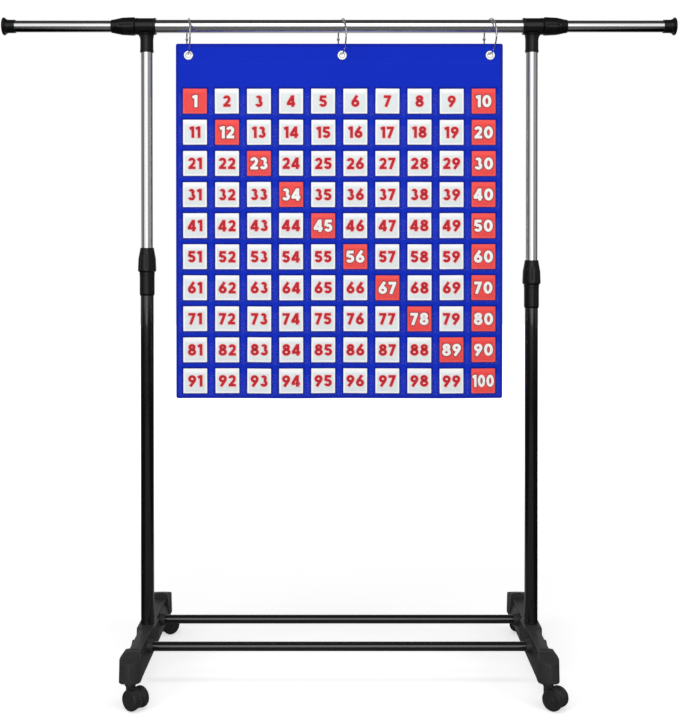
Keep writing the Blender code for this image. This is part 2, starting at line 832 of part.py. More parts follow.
def bound_panel():
    """The cloth, with a binding folded round its edge."""
    low = chart_top - CHART_HEIGHT
    half = PANEL_THICKNESS / 2
    lap = BINDING_LAP
    panel = block((chart_left + lap, -half, low + lap), (-chart_left - lap, half, chart_top - lap))
    inner = chart_left + BINDING_WIDTH
    binding = lattice(
        [chart_left, inner, -inner, -chart_left],
        [low, low + BINDING_WIDTH, chart_top - BINDING_WIDTH, chart_top],
        lambda i, k: i != 1 or k != 1,
        -BINDING_THICKNESS / 2,
        BINDING_THICKNESS / 2,
    )
    helper(binding, "binding")
    return boolean(keep(panel, "chart_panel", blue_cloth), binding, "UNION")


def build_chart(swing):
    chart = pivot("chart_swing", (0, 0, ring_low_z))
    hang_on(chart, swing)
    panel = bound_panel()
    for name, x in ring_places.items():
        neck = GROMMET_HOLE_DIAMETER / 2 + GROMMET_WALL
        hole = bar(neck + FIT, -OVERRUN, OVERRUN, GROMMET_SIDES)
        hole.rotation_euler = (math.pi / 2, 0, 0)
        hole.location = (x, 0, grommet_z)
        helper(hole, f"grommet_hole_{name}")
        boolean(panel, hole, "DIFFERENCE")
        eyelet = turned(grommet_profile(), GROMMET_SIDES)
        eyelet.rotation_euler = (math.pi / 2, 0, 0)
        eyelet.location = (x, 0, grommet_z)
        keep(eyelet, f"grommet_{name}", grommet_metal)
        hang_on(eyelet, chart)
    hang_on(panel, chart)
    for row in range(ROWS):
        hang_on(card_row(row), chart)
    hang_on(clear_pockets(), chart)


def build():
    build_base()
    mast = pivot("mast", (0, 0, BAR_HEIGHT))
    for name, side in sides.items():
        build_height_lock(name, side, mast)
    build_bar(mast)
    swing = pivot("ring_swing", (0, 0, BAR_HEIGHT))
    hang_on(swing, mast)
    for name, x in ring_places.items():
        ring(name, x, swing)
    build_chart(swing)


build()
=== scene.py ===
# Hundred pocket chart on its rolling stand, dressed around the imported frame.
import math

import bmesh
import bpy
import numpy as np
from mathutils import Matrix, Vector


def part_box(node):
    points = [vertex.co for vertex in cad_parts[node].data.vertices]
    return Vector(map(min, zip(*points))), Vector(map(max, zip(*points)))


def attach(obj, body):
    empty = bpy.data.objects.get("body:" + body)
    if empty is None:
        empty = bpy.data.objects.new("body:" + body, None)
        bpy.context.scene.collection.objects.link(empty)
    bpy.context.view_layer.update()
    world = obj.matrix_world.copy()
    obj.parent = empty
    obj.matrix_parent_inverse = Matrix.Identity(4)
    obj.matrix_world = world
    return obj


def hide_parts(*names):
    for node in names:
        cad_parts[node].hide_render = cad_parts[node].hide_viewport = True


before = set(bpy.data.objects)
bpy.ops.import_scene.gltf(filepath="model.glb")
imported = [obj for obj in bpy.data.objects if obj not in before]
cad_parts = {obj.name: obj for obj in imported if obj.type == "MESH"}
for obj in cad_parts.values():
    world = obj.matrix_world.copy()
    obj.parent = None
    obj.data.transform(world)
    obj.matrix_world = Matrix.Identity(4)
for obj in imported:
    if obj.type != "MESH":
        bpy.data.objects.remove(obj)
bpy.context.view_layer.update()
print("frame loaded:", len(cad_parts), "nodes")

# Camera: level sight lines as in the photograph, so its drop is a shift with a little tilt.
cameraSettings = {"place": (0.0010, -2.3650, 0.9320), "lens": 55.39, "tilt": 0.5,
                  "shiftX": -0.0004, "shiftY": -0.160}


def addObject(name, data):
    thing = bpy.data.objects.new(name, data)
    bpy.context.scene.collection.objects.link(thing)
    return thing


def makeCamera(settings):
    data = bpy.data.cameras.new("chartCamera")
    data.lens = settings["lens"]
    data.shift_x, data.shift_y = settings["shiftX"], settings["shiftY"]
    camera = addObject("chartCamera", data)
    camera.location = settings["place"]
    camera.rotation_euler = (math.radians(90 - settings["tilt"]), 0, 0)
    bpy.context.scene.camera = camera


makeCamera(cameraSettings)


# Meshes from whole arrays of points.
def gridFaces(rows, columns, loopRows=False, loopColumns=False):
    # one quad for each cell of a rows by columns grid, wrapped round where a direction is a loop
    r = np.arange(rows if loopRows else rows - 1)
    c = np.arange(columns if loopColumns else columns - 1)
    a, b = np.meshgrid(r, c, indexing="ij")
    nextA, nextB = (a + 1) % rows, (b + 1) % columns
    corners = (a * columns + b, nextA * columns + b, nextA * columns + nextB, a * columns + nextB)
    return np.stack(corners, -1).reshape(-1, 4)


def shell(points, loopRows=False, loopColumns=False, finish=0):
    # a grid of points as (points, faces, number of its material)
    points = np.asarray(points, float)
    return points.reshape(-1, 3), gridFaces(*points.shape[:2], loopRows, loopColumns), finish


def placed(shells, place, angle=0.0):
    # turned about Z by the angle, then moved
    spin = np.array([[math.cos(angle), -math.sin(angle), 0], [math.sin(angle), math.cos(angle), 0], [0, 0, 1]])
    return [(points @ spin.T + np.array(place), faces, finish) for points, faces, finish in shells]


def makeMesh(name, shells, sharpAngle=32, weld=1e-6):
    # all the shells in one mesh: doubles merged, faces outwards, smooth but for sharp edges
    starts = np.cumsum([0] + [len(points) for points, _, _ in shells])
    mesh = bpy.data.meshes.new(name)
    faces = np.concatenate([part[1] + start for part, start in zip(shells, starts)])
    mesh.from_pydata(np.concatenate([part[0] for part in shells]).tolist(), [], faces.tolist())
    numbers = np.concatenate([np.full(len(part[1]), part[2], np.int32) for part in shells])
    mesh.polygons.foreach_set("material_index", numbers)
    work = bmesh.new()
    work.from_mesh(mesh)
    bmesh.ops.remove_doubles(work, verts=work.verts, dist=weld)
    bmesh.ops.recalc_face_normals(work, faces=work.faces)
    work.to_mesh(mesh)
    work.free()
    mesh.shade_smooth()
    mesh.set_sharp_from_angle(angle=math.radians(sharpAngle))
    return mesh


def makePiece(name, shape, looks, body, *nodes, sharpAngle=32):
    # a mesh, or shells to make one of, with its finishes put on in the order given
    mesh = shape if isinstance(shape, bpy.types.Mesh) else makeMesh(name, shape, sharpAngle)
    piece = addObject(name, mesh)
    for look in looks:
        mesh.materials.append(finishes[look])
    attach(piece, body)
    if nodes:
        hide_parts(*nodes)
    return piece


def punchHoles(name, sheet, punches):
    # the sheet's mesh without what the punches take out of it
    holder = addObject(name, sheet)
    tools = [addObject(name + "Tool", punch) for punch in punches]
    for tool in tools:
        cut = holder.modifiers.new("cut", "BOOLEAN")
        cut.operation, cut.object = "DIFFERENCE", tool
    bpy.context.view_layer.update()
    mesh = bpy.data.meshes.new_from_object(holder.evaluated_get(bpy.context.evaluated_depsgraph_get()))
    for spent in (holder, *tools):
        bpy.data.objects.remove(spent)
    return mesh


def nodeBox(name):
    # lowest corner, highest corner and middle of a CAD node
    low, high = (np.array(corner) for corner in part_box(name))
    return low, high, (low + high) / 2


def rounded(corners, radii, steps=5, closed=True):
    # each corner of an outline gives way to an arc that touches both of its sides
    corners = np.array(corners, float)
    radii = np.broadcast_to(np.array(radii, float), len(corners))
    toBefore, toAfter = np.roll(corners, 1, 0) - corners, np.roll(corners, -1, 0) - corners
    before, after = np.linalg.norm(toBefore, axis=1), np.linalg.norm(toAfter, axis=1)
    u = toBefore / np.maximum(before, 1e-12)[:, None]
    v = toAfter / np.maximum(after, 1e-12)[:, None]
    halfAngle = np.arccos(np.clip((u * v).sum(1), -1, 1)) / 2
    reach = np.minimum(radii / np.tan(halfAngle), 0.49 * np.minimum(before, after))
    bisector = u + v
    bisector /= np.maximum(np.linalg.norm(bisector, axis=1), 1e-12)[:, None]
    centre = corners + bisector * (reach * np.tan(halfAngle) / np.sin(halfAngle))[:, None]
    outline = []
    for i, radius in enumerate(radii):  # a handful of corners
        if radius == 0 or (not closed and i in (0, len(corners) - 1)):
            outline.append(corners[i])
            continue
        start, end = (corners[i] + way[i] * reach[i] - centre[i] for way in (u, v))
        sweep = math.atan2(start[0] * end[1] - start[1] * end[0], start @ end)
        angle = sweep * np.linspace(0, 1, steps)[:, None]
        outline.extend(centre[i] + (start * np.cos(angle) + start[::-1] * (-1, 1) * np.sin(angle)))
    return np.array(outline)


def dense(profile, step):
    # the same closed outline with points no further apart than the step
    profile = np.asarray(profile, float)
    following = np.roll(profile, -1, 0)
    counts = np.maximum(1, np.ceil(np.linalg.norm(following - profile, axis=1) / step).astype(int))
    return np.concatenate([a + (b - a) * np.arange(n)[:, None] / n for a, b, n in zip(profile, following, counts)])


def turnedShell(profile, axis, centre, sides=64, side=1, swell=None, closed=True):
    # a profile of (radius, height) carried round an axis, heights running outwards on that side;
    # swell(angle, radius, height) changes the radius
    profile = np.asarray(profile, float) * (1, side)
    angle = np.linspace(0, 2 * np.pi, sides, endpoint=False)
    radius, height = (np.broadcast_to(profile[:, i:i + 1], (len(profile), sides)) for i in (0, 1))
    if swell:
        radius = swell(angle[None, :], radius, height)
    across, up = radius * np.cos(angle), radius * np.sin(angle)
    parts = {"x": (height, across, up), "y": (up, height, across), "z": (across, up, height)}[axis]
    return shell(np.stack(parts, -1) + np.array(centre), closed, True)


def capped(points):
    # a closed end on each end of a loft, gathered at its middle
    first, last = (np.broadcast_to(points[i].mean(0), points[i].shape)[None] for i in (0, -1))
    return np.concatenate([first, points, last])


def smoothStep(way):
    return way * way * (3 - 2 * way)


def besidePath(path, closed=True):
    # unit vectors along a flat path, and square to it on its left
    ahead = np.roll(path, -1, 0) - np.roll(path, 1, 0) if closed else np.gradient(path, axis=0)
    ahead = ahead / np.linalg.norm(ahead, axis=1)[:, None]
    return ahead, np.stack([-ahead[:, 1], ahead[:, 0]], 1)


# Shader nodes. A value given to an input is set there, and a socket is linked to it.
def addNode(tree, kind, values=None, **settings):
    node = tree.nodes.new("ShaderNode" + kind)
    for key, value in settings.items():
        setattr(node, key, value)
    for key, value in (values or {}).items():
        if isinstance(value, bpy.types.NodeSocket):
            tree.links.new(value, node.inputs[key])
        else:
            node.inputs[key].default_value = value
    return node


def mathOf(tree, operation, first, second=0.0, clamp=False):
    return addNode(tree, "Math", {0: first, 1: second}, operation=operation, use_clamp=clamp).outputs[0]


def productOf(tree, first, *others):
    for other in others:
        first = mathOf(tree, "MULTIPLY", first, other)
    return first


def rampOf(tree, value, start, finish, low=0.0, high=1.0, kind="LINEAR"):
    values = {"Value": value, "From Min": start, "From Max": finish, "To Min": low, "To Max": high}
    return addNode(tree, "MapRange", values, interpolation_type=kind).outputs["Result"]


def mixOf(tree, share, first, second):
    colours = [(*colour, 1) if isinstance(colour, tuple) else colour for colour in (first, second)]
    values = {"Factor": share, "A": colours[0], "B": colours[1]}
    return addNode(tree, "Mix", values, data_type="RGBA").outputs["Result"]


def noiseOf(tree, place, scale, detail=2.0, rough=0.5):
    values = {"Vector": place, "Scale": scale, "Detail": detail, "Roughness": rough}
    return addNode(tree, "TexNoise", values).outputs["Fac"]


def bumpOf(tree, height, strength, distance):
    values = {"Height": height, "Strength": strength, "Distance": distance}
    return addNode(tree, "Bump", values).outputs["Normal"]


def objectPlace(tree):
    return addNode(tree, "TexCoord").outputs["Object"]


def axesOf(tree, vector):
    return addNode(tree, "SeparateXYZ", {"Vector": vector}).outputs


def feed(tree, inputs, sources):
    for label, source in sources.items():
        tree.links.new(source, inputs[label])


def openGroup(name, **inputs):
    # an effect that materials share, with a vector and named numbers going in
    group = bpy.data.node_groups.new(name, "ShaderNodeTree")
    group.interface.new_socket("Vector", in_out="INPUT", socket_type="NodeSocketVector")
    for label, value in inputs.items():
        group.interface.new_socket(label, in_out="INPUT", socket_type="NodeSocketFloat").default_value = value
    return group, group.nodes.new("NodeGroupInput").outputs


def closeGroup(group, results):
    for label in results:
        kind = "NodeSocketVector" if label == "Normal" else "NodeSocketFloat"
        group.interface.new_socket(label, in_out="OUTPUT", socket_type=kind)
    feed(group, group.nodes.new("NodeGroupOutput").inputs, results)
    return group


def useGroup(tree, group, vector, **values):
    return addNode(tree, "Group", {"Vector": vector, **values}, node_tree=group).outputs


def newMaterial(name, colour, ior=1.45, **values):
    # values are for the shader's own sockets, each under a short name
    labels = {"coat": "Coat Weight", "sheen": "Sheen Weight", "specular": "Specular IOR Level",
              "roughness": "Roughness", "metallic": "Metallic"}
    material = bpy.data.materials.new(name)
    material.use_nodes = True
    material.diffuse_color = (*colour, 1)
    shader = material.node_tree.nodes["Principled BSDF"].inputs
    shader["Base Color"].default_value = (*colour, 1)
    shader["IOR"].default_value = ior
    for key, value in values.items():
        shader[labels[key]].default_value = value
    return material, material.node_tree, shader


# Hard finishes: base colour mottled a little, gloss that changes with handling, moulding grain.
def makeWearGroup():
    # patchy smudges and fine grain: a mask from large noise, a height from small noise
    group, given = openGroup("smudgeAndGrain", smudge=14.0, grain=900.0, roughness=0.4, spread=0.1, depth=0.05)
    smudge = noiseOf(group, given["Vector"], given["smudge"], 5.0, 0.6)
    grain = noiseOf(group, given["Vector"], given["grain"])
    spread = productOf(group, mathOf(group, "SUBTRACT", smudge, 0.5), given["spread"])
    return closeGroup(group, {"Roughness": mathOf(group, "ADD", spread, given["roughness"], clamp=True),
                              "Mask": smudge, "Normal": bumpOf(group, grain, given["depth"], 0.0004)})


def hardMaterial(name, look):
    material, tree, shader = newMaterial(name, look["colours"][0], **look["shader"])
    worn = useGroup(tree, wearGroup, objectPlace(tree), **dict(zip(wearKeys, look["wear"])))
    feed(tree, shader, {"Base Color": mixOf(tree, worn["Mask"], *look["colours"]),
                        "Roughness": worn["Roughness"], "Normal": worn["Normal"]})
    return material


wearKeys = ("smudge", "grain", "roughness", "spread", "depth")
hardLooks = {
    "chromePlate": {"colours": ((0.78, 0.78, 0.79), (0.86, 0.86, 0.86)), "shader": {"metallic": 1.0},
                    "wear": (9.0, 300.0, 0.13, 0.08, 0.01)},
    "blackPaint": {"colours": ((0.003, 0.003, 0.0035), (0.006, 0.006, 0.0065)),
                   "shader": {"coat": 1.0, "specular": 0.6}, "wear": (12.0, 600.0, 0.20, 0.12, 0.03)},
    "mouldedPlastic": {"colours": ((0.020, 0.020, 0.021), (0.034, 0.034, 0.035)), "shader": {},
                       "wear": (20.0, 2200.0, 0.46, 0.16, 0.18)},
    "lockPlastic": {"colours": ((0.003, 0.003, 0.0033), (0.006, 0.006, 0.006)),
                    "shader": {"coat": 0.2, "specular": 0.30}, "wear": (34.0, 2600.0, 0.30, 0.14, 0.10)},
    "wheelPlastic": {"colours": ((0.012, 0.012, 0.013), (0.024, 0.023, 0.022)), "shader": {},
                     "wear": (60.0, 1500.0, 0.45, 0.2, 0.12)},
    "pressedSteel": {"colours": ((0.52, 0.52, 0.53), (0.60, 0.60, 0.60)), "shader": {"metallic": 1.0},
                     "wear": (50.0, 1200.0, 0.32, 0.15, 0.08)},
    "eyeletMetal": {"colours": ((0.86, 0.86, 0.87), (0.92, 0.92, 0.92)), "shader": {"metallic": 0.7},
                    "wear": (90.0, 900.0, 0.24, 0.1, 0.03)},
}
sides = {"left": -1, "right": 1}
wearGroup = makeWearGroup()
finishes = {name: hardMaterial(name, look) for name, look in hardLooks.items()}

# Tubes and rods. Each takes its place and its outer size from its node.
tubeSizes = {"wall": 0.0012, "brokenEdge": 0.0003, "radius": 0.014, "barHeight": 1.3765, "poleX": 0.412,
             "slipBore": 0.0128, "fit": 0.0003}
fit, tubeRadius, slipBore = tubeSizes["fit"], tubeSizes["radius"], tubeSizes["slipBore"]
barHeight, poleX = tubeSizes["barHeight"], tubeSizes["poleX"]


def makeTube(name, node, body, look, hollow=True):
    low, high, middle = nodeBox(node)
    size = high - low
    along = int(np.argmax(size))
    radius, half = np.delete(size, along).max() / 2, size[along] / 2
    inner, edge = radius - tubeSizes["wall"], tubeSizes["brokenEdge"]
    profile = [(0, half), (radius, half), (radius, -half), (0, -half)]
    if hollow:
        profile = [(inner, -half), (inner, half), (radius - edge, half), (radius, half - edge),
                   (radius, edge - half), (radius - edge, -half)]
    tube = turnedShell(profile, "xyz"[along], middle, 72 if hollow else 48, closed=hollow)
    makePiece(name, [tube], [look], body, node)


def makeTubes():
    for row in ("front", "rear"):
        makeTube(row + "Rod", "cross_rod_" + row, "base", "blackPaint", hollow=False)
    for name in sides:
        makeTube(name + "LowerPole", "lower_pole_" + name, "base", "blackPaint")
    for name in sides:
        makeTube(name + "UpperPole", "upper_pole_" + name, "top_frame", "chromePlate")
    makeTube("mainBar", "bar_main", "top_frame", "chromePlate")
    for name in sides:
        makeTube(name + "BarExtension", "bar_extension_" + name, "bar_extension_" + name, "chromePlate")


# Height locks, tees and caps: turned profiles with rounded edges.
knobSizes = {"length": 0.052, "radius": 0.0195, "lipLength": 0.005, "thread": 0.014, "waist": 0.18,
             "flutes": 8, "fluteDepth": 0.0011, "sides": 144, "gripGap": 0.0014}


def fluteSwell(sizes, inside):
    # r - depth * (0.5 + 0.5 cos(n angle))^3 * fade(height), on the outside only; the fade ends the flutes
    def swell(angle, radius, height):
        along = np.abs(height)
        rise = np.clip((along - 0.0035) / 0.006, 0, 1) * np.clip((sizes["length"] - 0.006 - along) / 0.008, 0, 1)
        groove = (0.5 + 0.5 * np.cos(sizes["flutes"] * angle)) ** 3
        return np.where(radius > inside, radius - sizes["fluteDepth"] * groove * smoothStep(rise), radius)
    return swell


def makeKnob(name, node, threadWall, lipWall, axis, place, side):
    s = knobSizes
    thread, lip, grip = tubeRadius + fit + threadWall + fit, slipBore + lipWall, slipBore + s["gripGap"]
    shoulder = lip + (s["radius"] - lip) * (1 - s["waist"])
    long, lipFoot = s["length"], s["length"] - s["lipLength"]
    corners = [(thread, 0), (thread, s["thread"]), (grip, s["thread"]), (grip, lipFoot), (slipBore, lipFoot),
               (slipBore, long), (lip, long), (lip + 0.0004, long - 0.004), (shoulder, long * 0.55),
               (s["radius"], 0.0075), (s["radius"], 0.003), (s["radius"] - 0.0022, 0)]
    radii = [0, 0, 0, 0, 0, 0, 0.0008, 0.002, 0.02, 0.006, 0.0012, 0.0008]
    knob = turnedShell(dense(rounded(corners, radii, 6), 0.0022), axis, place, s["sides"], side,
                       fluteSwell(s, max(thread, lip) + 0.0012))
    makePiece(name, [knob], ["lockPlastic"], node, node)


def makeKnobs():
    for name, side in sides.items():
        low, _, middle = nodeBox("height_knob_" + name)
        makeKnob(name + "HeightKnob", "height_knob_" + name, 0.0012, 0.0018, "z", (middle[0], 0, low[2]), 1)
        low, high, middle = nodeBox("bar_knob_" + name)
        start = low[0] if side > 0 else high[0]
        makeKnob(name + "BarKnob", "bar_knob_" + name, 0.0013, 0.0012, "x", (start, 0, middle[2]), side)


sleeveSizes = {"outer": 0.0163, "length": 0.050, "nose": 0.014, "noseWall": 0.0009, "pitch": 0.0025,
               "threadDepth": 0.0003}


def makeSleeves():
    # slightly conical grip below a threaded nose; the thread is rings of sin(height)
    s = sleeveSizes
    bore, outer, length = tubeRadius + fit, s["outer"], s["length"]
    nose, top = bore + s["noseWall"], length + s["nose"]
    corners = [(bore, 0), (bore, top), (nose, top), (nose, length), (outer, length), (outer, length - 0.006),
               (outer - 0.0004, length - 0.0066), (outer - 0.0004, 0.004), (outer - 0.0014, 0)]
    radii = [0.0003, 0.0003, 0.0002, 0, 0.0007, 0.0002, 0.0002, 0.0015, 0.0005]
    profile = dense(rounded(corners, radii, 5), 0.0004)
    onThread = (profile[:, 1] > length + 0.001) & (profile[:, 0] > bore + 0.0005)
    rings = s["threadDepth"] * np.sin(profile[:, 1] * 2 * np.pi / s["pitch"])
    profile[:, 0] += np.where(onThread, rings, 0)
    for name in sides:
        low, _, middle = nodeBox("height_sleeve_" + name)
        sleeve = turnedShell(profile, "z", (middle[0], 0, low[2]), 72)
        makePiece(name + "Sleeve", [sleeve], ["lockPlastic"], "base", "height_sleeve_" + name)


teeSizes = {"inner": 0.392, "outer": 0.435, "spigot": 0.014, "radius": 0.018, "socketFoot": 0.056,
            "socketWall": 0.0012}


def makeTees():
    s = teeSizes
    length, bore, r = s["outer"] - s["inner"], tubeRadius + fit, s["radius"]
    corners = [(bore, 0), (bore, length + s["spigot"]), (bore + 0.0012, length + s["spigot"]),
               (bore + 0.0012, length), (r, length), (r, length - 0.004), (r - 0.0005, length - 0.0046),
               (r - 0.0005, 0.0046), (r, 0.004), (r, 0)]
    radii = [0.0002, 0.0002, 0.0003, 0, 0.0010, 0.0002, 0.0002, 0.0002, 0.0002, 0.0010]
    barrel = dense(rounded(corners, radii, 5), 0.003)
    outer, high = slipBore + s["socketWall"], s["socketFoot"] - 0.0148
    corners = [(slipBore, 0), (slipBore, high), (outer + 0.0022, high), (outer + 0.0009, high - 0.006),
               (outer, high - 0.013), (outer, 0.007), (outer + 0.0004, 0.0064), (outer + 0.0004, 0)]
    socket = dense(rounded(corners, [0.0002, 0, 0, 0.006, 0.01, 0.0002, 0.0002, 0.0008], 5), 0.003)
    for name, side in sides.items():
        shells = [turnedShell(barrel, "x", (side * s["inner"], 0, barHeight), 96, side),
                  turnedShell(socket, "z", (side * poleX, 0, barHeight - s["socketFoot"]), 96),
                  gussetShell(side, outer)]
        makePiece(name + "Tee", shells, ["lockPlastic"], "top_frame", "tee_" + name)


def gussetShell(side, edge):
    # a web under the barrel: its free edge is a quarter of an ellipse, its rim rounded in plan
    turn = np.linspace(0, np.pi / 2, 14)[:, None]
    lowX = edge - 0.0008 + 0 * turn
    freeX = edge + 0.0085 * (1 - np.cos(turn))
    z = -0.0165 - 0.0145 * (1 - np.sin(turn))
    angle = np.linspace(-np.pi / 2, np.pi / 2, 10)[None, :]
    x = freeX - 0.002 + 0.002 * np.cos(angle)
    y = 0.005 * np.sin(angle) + 0 * x
    x = np.concatenate([lowX, x, lowX], 1)
    y = np.concatenate([y[:, :1], y, y[:, -1:]], 1)
    return shell(np.stack([side * (poleX + x), y, barHeight + z + 0 * x], -1), False, True)


capSizes = {"wall": 0.0014, "flange": 0.019, "flareFoot": 0.0145, "flareLength": 0.0085, "rim": 0.003}


def makeCaps():
    # a cup that flares into a crowned flange: radius grows as the square of the way up the flare
    s = capSizes
    way, turn = np.linspace(0, 1, 9), np.linspace(0, np.pi / 2, 7)
    wall, top = slipBore + s["wall"], s["flareFoot"] + s["flareLength"]
    flat = s["flange"] - s["rim"]
    inside = np.array([(0, top), (slipBore, top), (slipBore, 0), (wall - 0.0004, 0), (wall, 0.0004)])
    flare = np.stack([wall + (s["flange"] - wall) * way ** 2, s["flareFoot"] + s["flareLength"] * way], 1)
    crown = np.stack([flat + s["rim"] * np.cos(turn), 0.0245 + 0.0018 * np.sin(turn)], 1)
    dome = np.stack([flat * (1 - way[1:]), 0.0263 + 0.0007 * np.sin(way[1:] * np.pi / 2)], 1)
    profile = np.concatenate([inside, flare, crown, dome])
    for name, side in sides.items():
        low, high, _ = nodeBox("end_cap_" + name)
        start = low[0] if side > 0 else high[0]
        cap = turnedShell(profile, "x", (start, 0, barHeight), 96, side, closed=False)
        makePiece(name + "EndCap", [cap], ["lockPlastic"], "bar_extension_" + name, "end_cap_" + name)


makeTubes()
makeKnobs()
makeSleeves()
makeTees()
makeCaps()
print("tubes, locks, tees and caps made")

# Feet: a ribbed beam, a housing at each end, a pole socket and two rod bosses.
footSizes = {"end": 0.220, "floor": 0.050, "housing": 0.050, "nose": 0.018, "bottomRadius": 0.0022,
             "topRadius": 0.0024, "beamRows": (-0.186, -0.09, 0.0, 0.09, 0.186), "socketWide": 0.0190,
             "socketReach": 0.047, "rodSpacing": 0.162, "rodHeight": 0.076, "bossReach": 0.0255,
             "bossOuter": 0.0178}


def sectionLoft(y, low, high, bottomHalf, topHalf, crown, lowRadius, highRadius):
    # rounded sections along Y: z = high + crown (1 - (x / topHalf)^2) over the top, arcs at the four corners
    y, low, high, bottomHalf, topHalf, crown = (
        part[:, None] for part in np.broadcast_arrays(y, low, high, bottomHalf, topHalf, crown))
    r1, r2 = np.minimum(lowRadius, 0.98 * bottomHalf), np.minimum(highRadius, 0.98 * topHalf)
    up, over = np.linspace(-np.pi / 2, 0, 6)[None, :], np.linspace(0, np.pi / 2, 7)[None, :]
    flat = (topHalf - r2) * np.linspace(1, 0, 6)[None, 1:]
    x = np.concatenate([bottomHalf - r1 + r1 * np.cos(up), topHalf - r2 + r2 * np.cos(over), flat], 1)
    z = np.concatenate([low + r1 + r1 * np.sin(up), high - r2 + r2 * np.sin(over), high + 0 * flat], 1)
    arch = crown * np.clip(1 - (x / np.maximum(topHalf, 1e-5)) ** 2, 0, 1)
    z = z + np.where(z > high - r2 - 1e-9, arch, 0)
    x, z = np.concatenate([x, -x[:, -2::-1]], 1), np.concatenate([z, z[:, -2::-1]], 1)
    return np.stack([x, np.broadcast_to(y, x.shape), z], -1)


def housingPoints(end):
    # half width flares from the rim to the shoulder, then closes as (1 - s^1.75)^(1/1.9) over the nose
    s = footSizes
    inner, shoulder = s["end"] - s["housing"], s["end"] - s["nose"]
    y = np.concatenate([np.linspace(inner, inner + 0.0095, 7), np.linspace(inner + 0.0100, inner + 0.0145, 10),
                        np.linspace(inner + 0.016, shoulder, 9),
                        shoulder + s["nose"] * np.sin(np.linspace(0, np.pi / 2, 18))[1:]])
    flare = smoothStep(np.clip((y - inner) / (shoulder - inner), 0, 1))
    past = np.clip((y - shoulder) / s["nose"], 0, 1)
    close = np.clip(1 - past ** 1.75, 0, 1) ** (1 / 1.9)
    groove = 0.0030 * np.exp(-((y - inner - 0.0122) / 0.0011) ** 4)
    high = s["floor"] + 0.0535 - 0.0125 * np.clip((y - inner) / s["housing"], 0, 1) ** 1.6 - groove
    points = sectionLoft(y, s["floor"] + 0.003 * past ** 3, high, (0.0209 + 0.0007 * flare) * close,
                         (0.0158 + 0.0048 * flare) * close, (0.0016 * (1 - flare) + 0.0006) * close,
                         s["bottomRadius"], s["topRadius"])
    return capped(points)[:-1] * (1, end, 1)


def beamPoints():
    # flat top with a lip, a shadow channel under it, then a skirt that flares to the floor side
    half = [(0.0118, 0.0440), (0.0124, 0.0432), (0.0124, 0.0402), (0.0100, 0.0390), (0.0100, 0.0330),
            (0.0132, 0.0262), (0.0190, 0.0075), (0.0205, 0.0052), (0.0205, 0.0)]
    radii = [0.0008, 0.0006, 0.0006, 0.001, 0.002, 0.006, 0.003, 0.001, 0.0008]
    outline = rounded(half + [(-x, z) for x, z in half[::-1]], radii + radii[::-1], 4)
    y = np.array(footSizes["beamRows"])[:, None] + 0 * outline[None, :, 0]
    x, z = (np.broadcast_to(part, y.shape) for part in (outline[:, 0], footSizes["floor"] + outline[:, 1]))
    return capped(np.stack([x, y, z], -1))


def socketPoints():
    # block round the pole, ramped down to the beam before and behind
    s = footSizes
    side = np.linspace(0.024, s["socketReach"], 10)
    y = np.concatenate([-side[::-1], np.linspace(-0.0225, 0.0225, 5), side])
    ramp = smoothStep(np.clip((s["socketReach"] - np.abs(y)) / 0.023, 0, 1))
    topHalf = 0.0112 + (s["socketWide"] - 0.0112) * ramp
    return capped(sectionLoft(y, s["floor"] + 0.006, s["floor"] + 0.042 + 0.0038 * ramp, topHalf + 0.0010,
                              topHalf, 0.0, 0.002, 0.0026))


def makeFeet():
    s = footSizes
    reach, outer = s["bossReach"], s["bossOuter"]
    collar = rounded([(0.0143, 0.0945), (0.0160, 0.0945), (0.0160, 0.0965), (0.0143, 0.0965)], 0.0005, 4)
    corners = [(0, reach - 0.014), (0.0098, reach - 0.014), (0.0098, reach), (0.0132, reach), (0.0137, 0.0),
               (0.0132, -outer), (0, -outer)]
    boss = rounded(corners, [0, 0, 0.0004, 0.0014, 0.01, 0.0016, 0], 5, closed=False)
    lofts = [beamPoints(), socketPoints(), housingPoints(1), housingPoints(-1)]
    for name, side in sides.items():
        shells = [shell(points, False, True) for points in lofts] + [turnedShell(collar, "z", (0, 0, 0))]
        for end in (-1, 1):
            centre = (0, end * s["rodSpacing"] / 2, s["rodHeight"])
            shells.append(turnedShell(boss, "x", centre, 48, -side, closed=False))
        makePiece(name + "Foot", placed(shells, (side * poleX, 0, 0)), ["mouldedPlastic"], "base",
                  "foot_" + name, sharpAngle=38)


# Casters, drawn with the axle along local Y and the trail along local X, then turned.
casterSizes = {"inset": 0.197, "trail": 0.016, "turn": 40.5, "wheel": 0.021, "wide": 0.013, "hood": 0.0105,
               "rim": 0.0193, "slots": 16}


def wheelShell(face):
    # tread with a crown, dished face, ring line and hub cap
    s = casterSizes
    inner, r = s["hood"] / 2 + fit, s["wheel"]
    outer = inner + s["wide"]
    corners = [(0.0028, inner), (r - 0.0020, inner), (r - 0.0004, inner + 0.0022), (r, inner + s["wide"] / 2),
               (r - 0.0004, outer - 0.0030), (r - 0.0022, outer), (r - 0.0036, outer - 0.0001),
               (r - 0.0042, outer - 0.0009), (0.0070, outer - 0.0011), (0.0062, outer - 0.0015),
               (0.0056, outer - 0.0010), (0.0, outer - 0.0006)]
    radii = [0.0002, 0.0014, 0.004, 0.02, 0.0026, 0.0008, 0.0004, 0.0004, 0.0004, 0.0003, 0.0008, 0]
    outline = np.concatenate([[(0.0, inner)], rounded(corners, radii, 5, closed=False)])
    return turnedShell(outline, "y", (s["trail"], 0, s["wheel"]), 72, face, closed=False)


